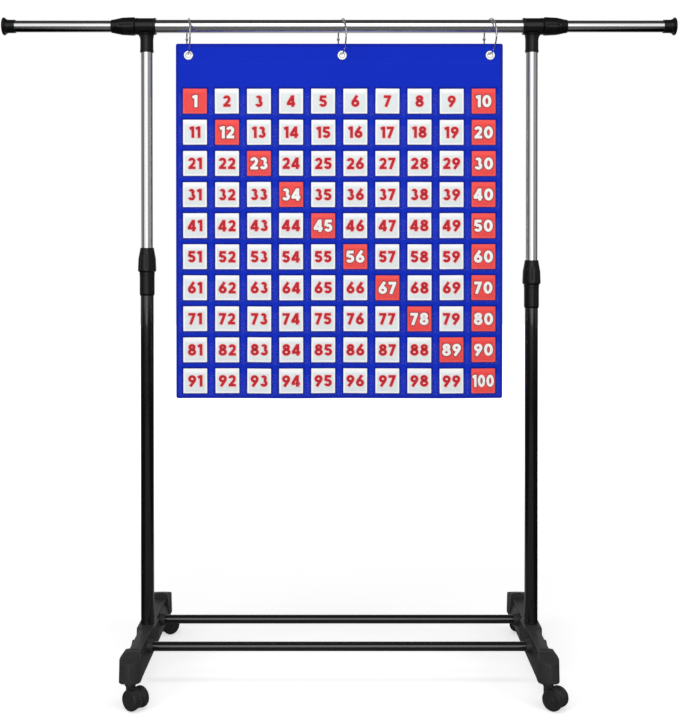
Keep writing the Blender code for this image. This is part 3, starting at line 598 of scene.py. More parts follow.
def hoodShells():
    # ribbed rim between the wheels: radius dips in step with cos(n angle) to leave slots; a neck and a web
    s = casterSizes
    reach, r = s["hood"] / 2 - fit, s["rim"]
    corners = [(0, -reach), (r - 0.001, -reach), (r, -reach + 0.001), (r, reach - 0.001), (r - 0.001, reach),
               (0, reach)]
    rim = dense(rounded(corners, [0, 0.0005, 0.0005, 0.0005, 0.0005, 0], 3, closed=False), 0.0035)

    def ribs(angle, radius, height):
        slot = np.clip(3.2 * np.cos(s["slots"] * angle) - 1.4, 0, 1)
        middle = np.clip(1.6 - np.abs(height) / 0.0022, 0, 1)
        return np.where(radius > 0.0185, radius - 0.0028 * slot * middle, radius)
    disc = turnedShell(rim, "y", (s["trail"], 0, s["wheel"]), 192, swell=ribs, closed=False)
    neck = rounded([(0, 0.0425), (0.0108, 0.0425), (0.0110, 0.0468), (0.0100, 0.0497), (0, 0.0497)],
                   [0, 0.0006, 0.0016, 0.0012, 0], 5, closed=False)
    x = np.array([-0.0078, -0.0070, 0.0, 0.008, 0.0155, 0.0160])
    high = np.array([0.0420, 0.0438, 0.0438, 0.0432, 0.0415, 0.0400])
    half = s["hood"] / 2 - 0.0002
    web = capped(sectionLoft(x, 0.0215, high, half, half, 0.0003, 0.0008, 0.0012))[..., [1, 0, 2]]
    return [disc, turnedShell(neck, "z", (0, 0, 0), 48, closed=False), shell(web, False, True)]


def makeCasters():
    s = casterSizes
    for row, end in (("front", -1), ("rear", 1)):
        for name, side in sides.items():
            key, label = row + "_" + name, row + name.capitalize()
            where = (side * poleX, end * s["inset"], 0), math.radians(end * s["turn"])
            makePiece(label + "Hood", placed(hoodShells(), *where), ["mouldedPlastic"], "caster_" + key,
                      "caster_hood_" + key, sharpAngle=30)
            for face, letter in ((1, "a"), (-1, "b")):
                makePiece(label + "Wheel" + letter.upper(), placed([wheelShell(face)], *where), ["wheelPlastic"],
                          "wheel_" + key + "_" + letter, "caster_wheel_" + key + "_" + letter)


makeFeet()
makeCasters()
print("feet and casters made")

# Hinged rings and their grommets.
ringSizes = {"wire": 0.0016, "radius": 0.0373, "height": 1.3551, "turn": 13.0, "knuckle": 0.0028, "catch": 0.0024,
             "pin": 0.0012, "places": {"left": -0.323, "centre": 0.006, "right": 0.323}}


def wireShell(start, finish, steps=48, sides=14):
    # a round section carried along an arc in the YZ plane; both ends domed
    s = ringSizes
    ease = np.array([0.0, 0.35, 0.8, 1.0])
    size = np.concatenate([ease, np.ones(steps), ease[::-1]])
    reach = s["wire"] * 0.5 / s["radius"] * np.sign(finish - start)
    ends = reach * (1 - np.sqrt(1 - ease ** 2))
    angle = np.concatenate([start + ends, np.linspace(start + reach, finish - reach, steps),
                            (finish - ends)[::-1]])[:, None]
    turn = np.linspace(0, 2 * np.pi, sides, endpoint=False)
    thick = s["wire"] * size[:, None]
    radius = s["radius"] + thick * np.cos(turn)
    return shell(np.stack([thick * np.sin(turn), radius * np.cos(angle), radius * np.sin(angle)], -1), False, True)


def barrelShell(radius, low, high, axis, y, sides=32):
    profile = rounded([(0, low), (radius, low), (radius, high), (0, high)], [0, 0.0006, 0.0006, 0], 5, closed=False)
    return turnedShell(profile, axis, (0, y, 0), sides, closed=False)


def makeRings():
    s = ringSizes
    radius = s["radius"]
    fittings = [barrelShell(s["knuckle"], low, low + 0.0017, "x", radius) for low in (-0.0028, -0.00085, 0.0011)]
    fittings += [barrelShell(s["pin"], -0.0030, 0.0030, "x", radius, 16),
                 barrelShell(s["catch"], -0.0024, 0.0024, "z", -radius)]
    knuckleGap, catchGap = (s["knuckle"] + fit) / radius, (s["catch"] + fit) / radius
    for name, x in s["places"].items():
        where = (x, 0, s["height"]), math.radians(s["turn"])
        makePiece(name + "RingLower", placed([wireShell(0, -math.pi), *fittings], *where), ["chromePlate"], "rings",
                  "ring_lower_" + name)
        makePiece(name + "RingUpper", placed([wireShell(knuckleGap, math.pi - catchGap)], *where), ["chromePlate"],
                  "ring_upper_" + name, "ring_upper_" + name)
        makeGrommet(name, x)


def makeGrommet(name, x):
    # rolled eyelet: a half round flange on each side, a neck that narrows as a hyperbola does
    way = np.linspace(-1, 1, 13)
    neck = np.stack([0.0050 + 0.0014 * way ** 2, 0.0016 * way], 1)
    rim = rounded([(0.0064, 0.0016), (0.0066, 0.0019), (0.0090, 0.0019), (0.0100, 0.0011), (0.0100, 0.0009),
                   (0.0060, 0.0009)], [0.0002, 0.0006, 0.0012, 0.0003, 0.0001, 0], 5, closed=False)
    profile = np.concatenate([neck, rim, rim[::-1] * (1, -1)])
    eyelet = turnedShell(profile, "y", (x, 0, nodeBox("grommet_" + name)[2][2]), 56)
    makePiece(name + "Grommet", [eyelet], ["eyeletMetal"], "chart", "grommet_" + name)


makeRings()
print("rings and grommets made")

# Chart: cloth, binding, cards with their numbers, clear pockets and stitches share one way of hanging.
chartSizes = {"width": 0.700, "height": 0.760, "top": 1.3397, "cardWidth": 0.0508, "cardHeight": 0.0530,
              "columnPitch": 0.0687, "rowPitch": 0.0666, "left": 0.01535, "down": 0.0965, "showing": 0.0117,
              "hem": 0.0045, "cloth": 0.0006, "grommetHole": 0.0062, "cardFront": 0.0014, "binding": 0.0060,
              "firstCardX": -0.30925, "lastCardZ": 0.6173}
# shadow is how strong the painted shade beside the cards is on each cloth
clothLooks = {
    "blueCloth": {"colours": ((0.0040, 0.0230, 0.50), (0.0060, 0.0340, 0.62)), "threads": 5200.0, "depth": 0.25,
                  "shadow": 0.75, "shader": {"roughness": 0.78, "sheen": 0.01}},
    "blueTape": {"colours": ((0.0035, 0.0140, 0.36), (0.0060, 0.0220, 0.46)), "threads": 3000.0, "depth": 0.45,
                 "shadow": 0.0, "shader": {"roughness": 0.70, "sheen": 0.01}},
    "blueThread": {"colours": ((0.022, 0.060, 0.72), (0.040, 0.100, 0.85)), "threads": 9000.0, "depth": 0.2,
                   "shadow": 0.0, "shader": {"roughness": 0.60, "sheen": 0.05}},
}
cardLooks = {
    "paleCard": {"field": (0.79, 0.84, 0.84), "edge": (0.97, 0.97, 0.98), "fibre": (0.71, 0.76, 0.76),
                 "margin": 0.075, "topMargin": 0.19},
    "redCard": {"field": (0.86, 0.056, 0.050), "edge": (0.92, 0.085, 0.075), "fibre": (0.76, 0.052, 0.046),
                "margin": 0.07, "topMargin": 0.17},
}
inkColours = {"redInk": (0.60, 0.0003, 0.008), "whiteInk": (0.98, 0.97, 0.95), "pinkOutline": (0.95, 0.70, 0.72),
              "darkRedOutline": (0.36, 0.030, 0.030)}
filmLook = {"colour": (0.80, 0.82, 0.88), "ripples": 30.0, "cloud": (0.003, 0.012), "ior": 1.5, "roughness": 0.22}


def makeWeaveGroup():
    # crossed threads: height = 0.35 sin(threads x) sin(threads z) + noise
    group, given = openGroup("plainWeave", threads=1400.0, depth=0.3)
    axes = axesOf(group, given["Vector"])
    waves = [mathOf(group, "SINE", productOf(group, axes[way], given["threads"])) for way in ("X", "Z")]
    height = mathOf(group, "ADD", productOf(group, *waves, 0.35), noiseOf(group, given["Vector"], 420.0, 3.0))
    return closeGroup(group, {"Height": height, "Normal": bumpOf(group, height, given["depth"], 0.0005)})


def makeCardShadowGroup(near=0.0012, far=0.0062):
    # painted shadow round each card: d = the larger of |x - nearest card's centre| - half width and the same for z; 1
    # at d = near, 0 at far
    c = chartSizes
    group, given = openGroup("shadowByCards")
    axes, away = axesOf(group, given["Vector"]), []
    for way, first, pitch, full in (("X", c["firstCardX"], c["columnPitch"], c["cardWidth"]),
                                    ("Z", c["lastCardZ"], c["rowPitch"], c["cardHeight"])):
        cell = mathOf(group, "DIVIDE", mathOf(group, "SUBTRACT", axes[way], first), pitch)
        nearest = addNode(group, "Clamp", {"Value": mathOf(group, "ROUND", cell), "Min": 0.0, "Max": 9.0})
        rest = mathOf(group, "ABSOLUTE", mathOf(group, "SUBTRACT", cell, nearest.outputs[0]))
        away.append(mathOf(group, "SUBTRACT", productOf(group, rest, pitch), full / 2))
    return closeGroup(group, {"Shade": rampOf(group, mathOf(group, "MAXIMUM", *away), far, near, kind="SMOOTHSTEP")})


def clothMaterial(name, look):
    # dyed cloth: woven bump, thread noise in the colour, a little sheen, painted shade beside the cards
    colour, second = look["colours"]
    material, tree, shader = newMaterial(name, colour, specular=0.15, **look["shader"])
    place = objectPlace(tree)
    weave = useGroup(tree, weaveGroup, place, threads=look["threads"], depth=look["depth"])
    blend = productOf(tree, weave["Height"], noiseOf(tree, place, 6.0, 4.0))
    cardSide = addNode(tree, "Attribute", attribute_name="cardSide").outputs["Fac"]
    # painted shade beside the cards, darkening the cloth colour, on front faces only
    shadow = productOf(tree, useGroup(tree, cardShadowGroup, place)["Shade"], look["shadow"], cardSide)
    shade = mixOf(tree, shadow, mixOf(tree, blend, colour, second), tuple(0.35 * part for part in colour))
    feed(tree, shader, {"Base Color": shade, "Normal": weave["Normal"]})
    return material


def cardMaterial(name, look):
    # printed card: a paler margin round the field, wider at the top, and faint paper fibre
    material, tree, shader = newMaterial(name, look["field"], roughness=0.45)
    place = addNode(tree, "UVMap", uv_map="cardMap").outputs["UV"]
    axes, edges = axesOf(tree, place), []
    for way, margin in (("X", look["margin"]), ("Y", look["topMargin"])):
        fromHigh = mathOf(tree, "DIVIDE", mathOf(tree, "SUBTRACT", 1.0, axes[way]), margin)
        edges.append(mathOf(tree, "MINIMUM", mathOf(tree, "DIVIDE", axes[way], look["margin"]), fromHigh))
    inside = rampOf(tree, mathOf(tree, "MINIMUM", *edges), 0.55, 1.25, kind="SMOOTHSTEP")
    fibre = noiseOf(tree, place, 38.0, 4.0)
    shade = mixOf(tree, productOf(tree, fibre, 0.12), mixOf(tree, inside, look["edge"], look["field"]), look["fibre"])
    feed(tree, shader, {"Base Color": shade, "Normal": bumpOf(tree, fibre, 0.06, 0.0002)})
    return material


def inkMaterial(name, colour):
    # printed ink, a touch uneven
    material, tree, shader = newMaterial(name, colour, roughness=0.5, specular=0.2)
    uneven = noiseOf(tree, objectPlace(tree), 260.0, 3.0)
    feed(tree, shader, {"Base Color": mixOf(tree, uneven, colour, tuple(0.85 * part + 0.02 for part in colour))})
    return material


def filmMaterial(name, look):
    # clear vinyl: mostly see-through, glossy, with faint ripples
    material, tree, shader = newMaterial(name, look["colour"], look["ior"], roughness=look["roughness"],
                                         specular=0.3)
    ripple = noiseOf(tree, objectPlace(tree), look["ripples"])
    feed(tree, shader, {"Normal": bumpOf(tree, ripple, 0.35, 0.001),
                        "Alpha": rampOf(tree, ripple, 0.0, 1.0, *look["cloud"])})
    return material


weaveGroup, cardShadowGroup = makeWeaveGroup(), makeCardShadowGroup()
for maker, looks in ((clothMaterial, clothLooks), (cardMaterial, cardLooks), (inkMaterial, inkColours),
                     (filmMaterial, {"clearFilm": filmLook})):
    finishes.update({name: maker(name, look) for name, look in looks.items()})
print("finishes made:", len(finishes))


def hang(points):
    # how cloth leans from its plane: A t^1.5 sin(2 pi x / 0.31 + 0.8) + B t sin(2 pi x / 0.17 + 3 z), t from 0 to 1
    c = chartSizes
    points = np.array(points, float)
    x, z = points[..., 0], points[..., 2]
    t = np.clip((c["top"] - 0.05 - z) / (c["height"] - 0.05), 0, 1)
    lean = 0.0022 * t ** 1.5 * np.sin(2 * np.pi * x / 0.31 + 0.8) + 0.0007 * t * np.sin(2 * np.pi * x / 0.17 + 3 * z)
    points[..., 1] += lean
    return points


def rowTop(row):
    return chartSizes["top"] - chartSizes["down"] - row * chartSizes["rowPitch"]


def columnAt(x):
    # 0, 1, 2 at the middles of the cards' columns
    c = chartSizes
    return (x + c["width"] / 2 - c["left"] - c["cardWidth"] / 2) / c["columnPitch"]


def makeCloth():
    # front and back in one closed sheet, with a pocket row's pull between the seams
    c = chartSizes
    half, bottom = c["width"] / 2 - 0.0012, c["top"] - c["height"] + 0.0012
    gridX, gridZ = np.meshgrid(np.linspace(-half, half, 161), np.linspace(bottom, c["top"] - 0.0012, 176),
                               indexing="ij")
    row = (rowTop(0) - c["cardHeight"] / 2 - gridZ) / c["rowPitch"]
    inGrid = np.clip((row + 0.9) * 2, 0, 1) * np.clip((10 - row) * 2, 0, 1)
    pull = 0.00018 * np.cos(2 * np.pi * columnAt(gridX)) * inGrid
    front, back = (np.stack([gridX, depth + pull, gridZ], -1) for depth in (-c["cloth"], c["cloth"]))
    edge = np.concatenate([front[:, 0], front[-1, 1:], front[-2::-1, -1], front[0, -2:0:-1]])
    rim = np.stack([edge, edge + (0, 2 * c["cloth"], 0)], 1)
    sheet = makeMesh("cloth", [shell(hang(front)), shell(hang(back)), shell(hang(rim), True, False)])
    profile = np.array([(0, -0.004), (c["grommetHole"], -0.004), (c["grommetHole"], 0.004), (0, 0.004)])
    punches = []
    for name in ringSizes["places"]:
        middle = nodeBox("grommet_" + name)[2]
        punches.append(makeMesh(name + "Punch", [turnedShell(profile, "y", (middle[0], 0, middle[2]), 32)]))
    punched = punchHoles("cloth", sheet, punches)
    normals = np.empty(len(punched.polygons) * 3)
    punched.polygons.foreach_get("normal", normals)
    # the painted shade beside the cards goes only on faces that look to the front
    cardSide = punched.attributes.new("cardSide", "FLOAT", "FACE")  # 1 on faces that look to the front
    cardSide.data.foreach_set("value", (normals[1::3] < 0).astype(np.float32))
    return makePiece("cloth", punched, ["blueCloth"], "chart", "chart_panel")


def corneredBox(halfX, halfZ, radius, steps):
    return rounded([(-halfX, -halfZ), (halfX, -halfZ), (halfX, halfZ), (-halfX, halfZ)], radius, steps)


def makeBinding():
    # folded tape: a flattened round section carried round the edge, a little fuller between stitches
    c = chartSizes
    path = dense(corneredBox(c["width"] / 2, c["height"] / 2, 0.004, 6), 0.0021)
    inward = besidePath(path)[1]
    turn = np.linspace(0, 2 * np.pi, 20, endpoint=False)
    across = c["binding"] / 2 * (1 - np.sign(np.cos(turn)) * np.abs(np.cos(turn)) ** 0.6)
    thick = 0.00125 * np.sign(np.sin(turn)) * np.abs(np.sin(turn)) ** 0.55
    puff = 1 + 0.07 * np.sin(np.arange(len(path)) * 0.0021 * 2 * np.pi / 0.0042)
    plan = path[:, None, :] + inward[:, None, :] * across[None, :, None]
    points = np.stack([plan[..., 0], thick[None, :] * puff[:, None], c["top"] - c["height"] / 2 + plan[..., 1]], -1)
    return makePiece("binding", [shell(hang(points), True, True)], ["blueTape"], "chart")


# Numerals: strokes of one width along lines and arcs, on a body one unit high.
numeralSizes = {"stroke": 0.236, "height": 0.0247, "wide": 1.06, "gap": 0.0033, "outline": 0.072,
                "fitWidth": 0.0462, "largerOnRed": 1.06}
redNumbers = {1, 12, 23, 34, 45, 56, 67, 78, 89} | set(range(10, 101, 10))


def arc(x, y, outerX, outerY, start, finish, steps):
    # a bent stroke's centre line inside its outer radii; a full turn is closed
    inner, closed = numeralSizes["stroke"] / 2, finish - start == 360
    angle = np.radians(np.linspace(start, finish, steps))[:steps - closed]
    return np.stack([x + (outerX - inner) * np.cos(angle), y + (outerY - inner) * np.sin(angle)], 1), closed


def bar(*numbers):
    return np.array(numbers, float).reshape(2, 2), False


def numeralStrokes():
    # each numeral: its width, then its strokes as (centre line, closed)
    t = numeralSizes["stroke"] / 2
    bowl = 0.325
    return {
        "0": (0.70, arc(0.35, 0.5, 0.35, 0.5, 0, 360, 40)),
        "1": (0.38, bar(0.27, 0, 0.27, 1), bar(0.28, 0.915, 0.01, 0.79)),
        "2": (0.62, arc(0.305, 0.69, 0.305, 0.31, 172, -30, 22), bar(0.508, 0.58, 0.12, 0.10), bar(0.02, t, 0.61, t)),
        "3": (0.62, arc(0.295, 0.735, 0.255, 0.265, 158, -88, 22), arc(0.305, 0.305, 0.305, 0.305, 92, -165, 26)),
        "4": (0.68, bar(0.47, 0, 0.47, 1), bar(0.0, 0.27, 0.67, 0.27), bar(0.45, 0.95, 0.065, 0.26)),
        "5": (0.63, bar(0.12, 1 - t, 0.58, 1 - t), bar(0.175, 0.97, 0.115, 0.49),
              arc(0.30, 0.33, 0.325, 0.33, 138, -158, 26)),
        "6": (0.66, arc(0.33, bowl, 0.33, bowl, 0, 360, 36), bar(0.485, 0.985, 0.125, 0.44)),
        "7": (0.60, bar(0.0, 1 - t, 0.58, 1 - t), bar(0.50, 0.955, 0.17, 0.0)),
        "8": (0.68, arc(0.34, 0.735, 0.300, 0.275, 0, 360, 32), arc(0.34, 0.305, 0.340, 0.310, 0, 360, 32)),
        "9": (0.66, arc(0.33, 1 - bowl, 0.33, bowl, 0, 360, 36), bar(0.175, 0.015, 0.535, 0.56)),
    }


strokesOf = numeralStrokes()


def strokeShell(path, closed, half, scale, corner, front, finish):
    # a flat bar with slightly sloped sides carried along the centre line
    ahead, side = besidePath(path, closed)
    if not closed:  # an outline's bar is longer too
        tip = half - numeralSizes["stroke"] / 2
        path = np.concatenate([path[:1] - ahead[:1] * tip, path[1:-1], path[-1:] + ahead[-1:] * tip])
    rails = []
    for reach, depth in ((half * 0.97, 0), (half, 0.00006), (-half, 0.00006), (-half * 0.97, 0)):
        flat = (path + side * reach) * scale
        rails.append(np.stack([corner[0] + flat[:, 0], front + depth + 0 * flat[:, 0], corner[1] + flat[:, 1]], -1))
    points = np.stack(rails, 1)
    return shell(points if closed else capped(points), closed, True, finish)


def numberShells(text, front, larger):
    # each stroke as ink, with a wider one a little behind it as the outline
    s = numeralSizes
    tall, half = s["height"] * larger, s["stroke"] / 2
    wide = tall * s["wide"]
    widths = np.array([strokesOf[digit][0] for digit in text]) * wide
    full = widths.sum() + s["gap"] * (len(text) - 1)
    squeeze = min(1.0, s["fitWidth"] / full)
    starts = np.concatenate([[0], np.cumsum(widths + s["gap"])[:-1]]) - full / 2
    scale = np.array([wide * squeeze, tall])
    shells = []
    for digit, start in zip(text, starts):
        for path, closed in strokesOf[digit][1:]:
            for more, raised, finish in ((0, 0.00010, 1), (s["outline"], 0.00004, 2)):
                shells.append(strokeShell(path, closed, half + more, scale, (start * squeeze, -tall / 2),
                                          front - raised, finish))
    return shells


def cardShells(number, red, jitter):
    # a thin card with round corners, turned a little in its pocket
    c = chartSizes
    row, column = divmod(number - 1, 10)
    outline = corneredBox(c["cardWidth"] / 2, c["cardHeight"] / 2, 0.0010, 4)
    ring = np.stack([outline[:, 0], 0 * outline[:, 0], outline[:, 1]], 1)
    front, back = -c["cardFront"], -0.0010
    body = np.stack([ring * (share, 1, share) + (0, depth, 0) for share, depth in (
        (0, front), (0.5, front), (0.985, front), (1, front + 0.0001), (1, back), (0, back))])
    larger = numeralSizes["largerOnRed"] if red else 1.0
    shells = [shell(body, False, True), *numberShells(str(number), front, larger)]
    cosine, sine = math.cos(jitter[2]), math.sin(jitter[2])
    spin = np.array([[cosine, 0, -sine], [0, 1, 0], [sine, 0, cosine]])
    x = -c["width"] / 2 + c["left"] + column * c["columnPitch"] + c["cardWidth"] / 2 + jitter[0]
    offset = np.array([x, 0, rowTop(row) - c["cardHeight"] / 2 + jitter[1]])
    return [(hang(points @ spin.T + offset), faces, finish) for points, faces, finish in shells], offset


def setMap(mesh, name, origin, size):
    # u and v from 0 to 1 across the card
    points, loops = np.empty(len(mesh.vertices) * 3), np.empty(len(mesh.loops), np.int32)
    mesh.vertices.foreach_get("co", points)
    mesh.loops.foreach_get("vertex_index", loops)
    flat = (points.reshape(-1, 3)[:, [0, 2]] - origin) / size + 0.5
    mesh.uv_layers.new(name=name).data.foreach_set("uv", flat[loops].astype(np.float32).ravel())


def makeCards():
    random = np.random.default_rng(23)
    cards = []
    for number in range(1, 101):
        red = number in redNumbers
        shells, offset = cardShells(number, red, random.uniform(-1, 1, 3) * (0.0003, 0.0003, 0.006))
        mesh = makeMesh("card" + str(number), shells, sharpAngle=25)
        setMap(mesh, "cardMap", offset[[0, 2]], np.array([chartSizes["cardWidth"], chartSizes["cardHeight"]]))
        looks = ("redCard", "whiteInk", "darkRedOutline") if red else ("paleCard", "redInk", "pinkOutline")
        first = (number - 1) // 10 * 10 + 1
        node = "number_cards_" + str(first).zfill(3) + "_" + str(first + 9).zfill(3)
        cards.append(makePiece("card" + str(number), mesh, looks, "chart", node))
    return cards


def makePockets():
    # clear film per row: it bulges over each card as cos^2 and is sewn down between them
    c = chartSizes
    films = []
    reach = c["width"] / 2 - c["binding"] + 0.0005
    for row in range(10):
        z = np.linspace(rowTop(row) - c["cardHeight"] - c["hem"], rowTop(row) - c["showing"], 15)
        gridX, gridZ = np.meshgrid(np.linspace(-reach, reach, 201), z, indexing="ij")
        column = columnAt(gridX)
        over = np.clip(1.35 * np.cos(np.pi * (column - np.round(column))) ** 2 - 0.12, 0, 1)
        rise = np.clip((gridZ - z[0]) / 0.006, 0, 1)
        depth = 0.0009 + (0.0008 + 0.0004 * rise) * over * rise + 0.0002 * rise
        sideways = 0.0001 * np.sin(gridX * 310 + row) * rise
        outer, inner = (np.stack([gridX, sideways - depth + half, gridZ], -1) for half in (-0.00012, 0.00012))
        lip = np.stack([outer[:, -1], inner[:, -1]], 1)
        films.append(makePiece("film" + str(row + 1), [shell(hang(part)) for part in (outer, lip, inner)],
                               ["clearFilm"], "chart", "clear_pockets"))
    return films


stitchSizes = {"pitch": 0.0042, "length": 0.0030, "radius": 0.00028}


def stitchShells(start, finish, depth):
    # six-sided spindles laid end to end along a line: radius = r sin^0.5 along each one
    s = stitchSizes
    start, finish = np.array(start, float), np.array(finish, float)
    length = np.linalg.norm(finish - start)
    ahead = (finish - start) / length
    starts = start + np.arange(0, length - s["length"], s["pitch"])[:, None] * ahead
    size = np.array([0.0, 0.75, 1.0, 0.75, 0.0])[:, None] * s["radius"]
    turn = np.linspace(0, 2 * np.pi, 6, endpoint=False)
    way = (np.array([0.0, 0.12, 0.5, 0.88, 1.0]) * s["length"])[None, :, None, None]
    sideways = np.array([-ahead[1], ahead[0]]) * (size * np.cos(turn))[None, :, :, None]
    plan = starts[:, None, None, :] + ahead * way + sideways
    y = np.broadcast_to(-depth - 0.7 * (size * np.sin(turn))[None], plan.shape[:3])
    faces = gridFaces(5, 6, False, True)[None] + 30 * np.arange(len(starts))[:, None, None]
    return hang(np.stack([plan[..., 0], y, plan[..., 1]], -1).reshape(-1, 3)), faces.reshape(-1, 4), 0


def makeStitches():
    c = chartSizes
    left, right, top, bottom = -c["width"] / 2, c["width"] / 2, c["top"], c["top"] - c["height"]
    inset = c["binding"] - 0.0012
    runs = [((left + 0.012, top - 0.042), (right - 0.012, top - 0.042), 0.0007)]
    runs += [((x, bottom + 0.004), (x, top - 0.004), 0.0011) for x in (left + inset, right - inset)]
    runs += [((left + 0.004, z), (right - 0.004, z), 0.0011) for z in (bottom + inset, top - inset)]
    for column in range(9):
        x = left + c["left"] + (c["cardWidth"] + c["columnPitch"]) / 2 + column * c["columnPitch"]
        runs += [((x, rowTop(row) - c["cardHeight"] - c["hem"] + 0.001),
                  (x, rowTop(row) - c["showing"] - 0.001), 0.00105) for row in range(10)]
    for row in range(10):
        z = rowTop(row) - c["cardHeight"] - 0.0022
        runs.append(((left + 0.008, z), (right - 0.008, z), 0.00115))
    mesh = makeMesh("stitches", [stitchShells(*run) for run in runs], sharpAngle=180, weld=1e-7)
    return makePiece("stitches", mesh, ["blueThread"], "chart")


cloth = makeCloth()
binding = makeBinding()
cards = makeCards()
films = makePockets()
stitches = makeStitches()
print("chart made:", len(cards), "cards")

# CAD nodes that still show: caster stems and the collets inside the locks.
for node in ("caster_stem_front_left", "caster_stem_front_right", "caster_stem_rear_left",
             "caster_stem_rear_right", "grip_collet_left", "grip_collet_right"):
    mesh = bpy.data.objects[node].data
    mesh.materials.clear()
    mesh.materials.append(finishes["pressedSteel"])

# Stage: white floor that keeps the shadow and looks dark grey in gloss, soft lights, white behind.
stageLooks = {"floor": 0.80, "floorInGloss": 0.17, "fanSlope": 0.45, "fanEdge": (0.75, 0.35),
              "fanReach": (3.8, 3.2), "rearSlope": 0.9, "rearEdge": (0.5, 0.0), "glow": (0.52, 1.0),
              "fade": (0.75, 2.2), "sky": (0.60, 0.34), "skyRise": (0.0, 0.9), "boxTop": (0.76, 0.66),
              "boxFoot": (-0.17, -0.10), "boxLeft": (-0.80, -0.66), "boxRight": (0.50, 0.38), "core": (0.24, 0.12),
              "halves": (-0.06, 0.06), "frontBox": 0.95, "coreMore": 0.9, "leftWall": 0.15, "rightWall": 0.34,
              "behind": (0.30, 0.10), "behindEdge": (-0.05, 0.05), "rearBox": 0.8, "rearWide": (-0.80, -0.92),
              "rearHigh": (0.45, 0.30), "rearTop": 0.7, "topHigh": (0.40, 0.52), "topAside": (0.35, 0.5),
              "darkest": 0.05}
lampList = [  # name, place, size, power; all look at the chart's middle but the top one, a little lower
    ("leftSoftbox", (-2.3, -1.9, 1.9), 0.9, (1.1, 1.8), 17.0),
    ("rightSoftbox", (2.4, -1.7, 1.7), 0.9, (1.0, 1.8), 13.0),
    ("topSoftbox", (0.0, -0.7, 3.1), 0.7, (3.0, 0.9), 18.0),
    ("frontFill", (-0.45, -3.6, 1.30), 0.9, (1.0, 2.0), 26.0),
]


def makeFloor(looks):
    # in gloss the floor is grey in a fan before the stand, its own colour in a fan behind, and black elsewhere
    mesh = bpy.data.meshes.new("studioFloor")
    mesh.from_pydata([(-9, -9, 0), (9, -9, 0), (9, 9, 0), (-9, 9, 0)], [], [(0, 1, 2, 3)])
    addObject("studioFloor", mesh)
    grey = (looks["floor"],) * 3
    material, tree, shader = newMaterial("studioFloor", grey, roughness=0.9, specular=0.0)
    path, place = addNode(tree, "LightPath").outputs, objectPlace(tree)
    reach = addNode(tree, "VectorMath", {0: place}, operation="LENGTH").outputs["Value"]
    axes = axesOf(tree, place)
    aside = mathOf(tree, "ABSOLUTE", axes["X"])
    fan = mathOf(tree, "ADD", productOf(tree, axes["Y"], looks["fanSlope"]), aside)
    inFan = productOf(tree, rampOf(tree, reach, *looks["fanReach"]), rampOf(tree, fan, *looks["fanEdge"]))
    rearFan = mathOf(tree, "SUBTRACT", productOf(tree, axes["Y"], looks["rearSlope"]), aside)
    dark = productOf(tree, path["Is Glossy Ray"], rampOf(tree, rearFan, *looks["rearEdge"]))
    shade = mixOf(tree, dark, grey, mixOf(tree, inFan, (0.0, 0.0, 0.0), (looks["floorInGloss"],) * 3))
    glow = rampOf(tree, reach, *looks["fade"], *looks["glow"], kind="SMOOTHSTEP")
    shader["Emission Color"].default_value = (1, 1, 1, 1)
    feed(tree, shader, {"Base Color": shade, "Emission Strength": productOf(tree, glow, path["Is Camera Ray"])})
    mesh.materials.append(material)


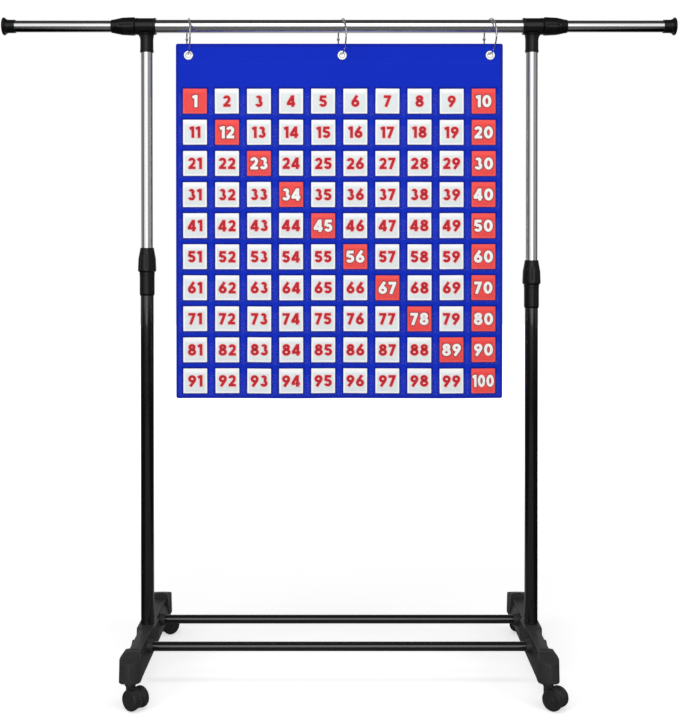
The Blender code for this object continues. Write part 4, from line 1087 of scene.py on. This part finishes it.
def makeWorld(looks):
    # white to the camera, an even sky for light; in gloss a studio seen by height z and by the way round,
    # across = x / sqrt(1 - z^2) and ahead = -y / sqrt(1 - z^2): a box ahead with a brighter core, grey walls
    # beside it and behind, a box straight behind, a band high behind, dark overhead and just below level
    world = bpy.data.worlds.new("studio")
    bpy.context.scene.world = world
    world.use_nodes = True
    tree = world.node_tree
    tree.nodes.clear()
    axes = axesOf(tree, addNode(tree, "TexCoord").outputs["Generated"])
    z = axes["Z"]
    flat = mathOf(tree, "SQRT", mathOf(tree, "SUBTRACT", 1.0001, productOf(tree, z, z)))
    ahead = mathOf(tree, "DIVIDE", productOf(tree, axes["Y"], -1.0), flat)
    across = mathOf(tree, "DIVIDE", axes["X"], flat)
    aside = mathOf(tree, "ABSOLUTE", across)
    upright = productOf(tree, rampOf(tree, z, *looks["boxTop"]), rampOf(tree, z, *looks["boxFoot"]))
    facing = productOf(tree, rampOf(tree, across, *looks["boxLeft"]),
                       rampOf(tree, across, *looks["boxRight"], 0.0, looks["frontBox"]))
    for more in (rampOf(tree, aside, *looks["core"], 0.0, looks["coreMore"]),
                 rampOf(tree, across, *looks["boxRight"], looks["rightWall"], 0.0),
                 rampOf(tree, across, *looks["boxLeft"], looks["leftWall"], 0.0)):
        facing = mathOf(tree, "ADD", facing, more)
    behind = rampOf(tree, across, *looks["behindEdge"], *looks["behind"])
    rearBox = productOf(tree, rampOf(tree, ahead, *looks["rearWide"], 0.0, looks["rearBox"]),
                        rampOf(tree, z, *looks["rearHigh"]))
    rearTop = productOf(tree, rampOf(tree, z, *looks["topHigh"], 0.0, looks["rearTop"]),
                        rampOf(tree, aside, *looks["topAside"]))
    for light in (rearBox, rearTop):
        behind = mathOf(tree, "MAXIMUM", behind, light)
    inFront = rampOf(tree, ahead, *looks["halves"])
    lightBehind = productOf(tree, behind, mathOf(tree, "SUBTRACT", 1.0, inFront))
    room = productOf(tree, mathOf(tree, "ADD", productOf(tree, facing, inFront), lightBehind), upright)
    room = mathOf(tree, "MAXIMUM", room, looks["darkest"])
    path = addNode(tree, "LightPath").outputs
    ambient, studio, backdrop = (
        addNode(tree, "Background", {"Color": (1, 1, 1, 1), "Strength": strength}).outputs[0]
        for strength in (rampOf(tree, z, *looks["skyRise"], *looks["sky"]), room, 1.0))
    lit = addNode(tree, "MixShader", {0: path["Is Glossy Ray"], 1: ambient, 2: studio}).outputs[0]
    seen = addNode(tree, "MixShader", {0: path["Is Camera Ray"], 1: lit, 2: backdrop}).outputs[0]
    addNode(tree, "OutputWorld", {"Surface": seen})


def makeLamp(name, place, aim, size, power):
    data = bpy.data.lights.new(name, "AREA")
    data.shape, data.size, data.size_y, data.energy = "RECTANGLE", *size, power
    lamp = addObject(name, data)
    lamp.location = place
    lamp.rotation_euler = (Vector((0, 0, aim)) - Vector(place)).to_track_quat("-Z", "Y").to_euler()
    lamp.visible_glossy = False


makeFloor(stageLooks)
makeWorld(stageLooks)
for lamp in lampList:
    makeLamp(*lamp)
bpy.context.scene.view_settings.view_transform = "Standard"
print("stage made")
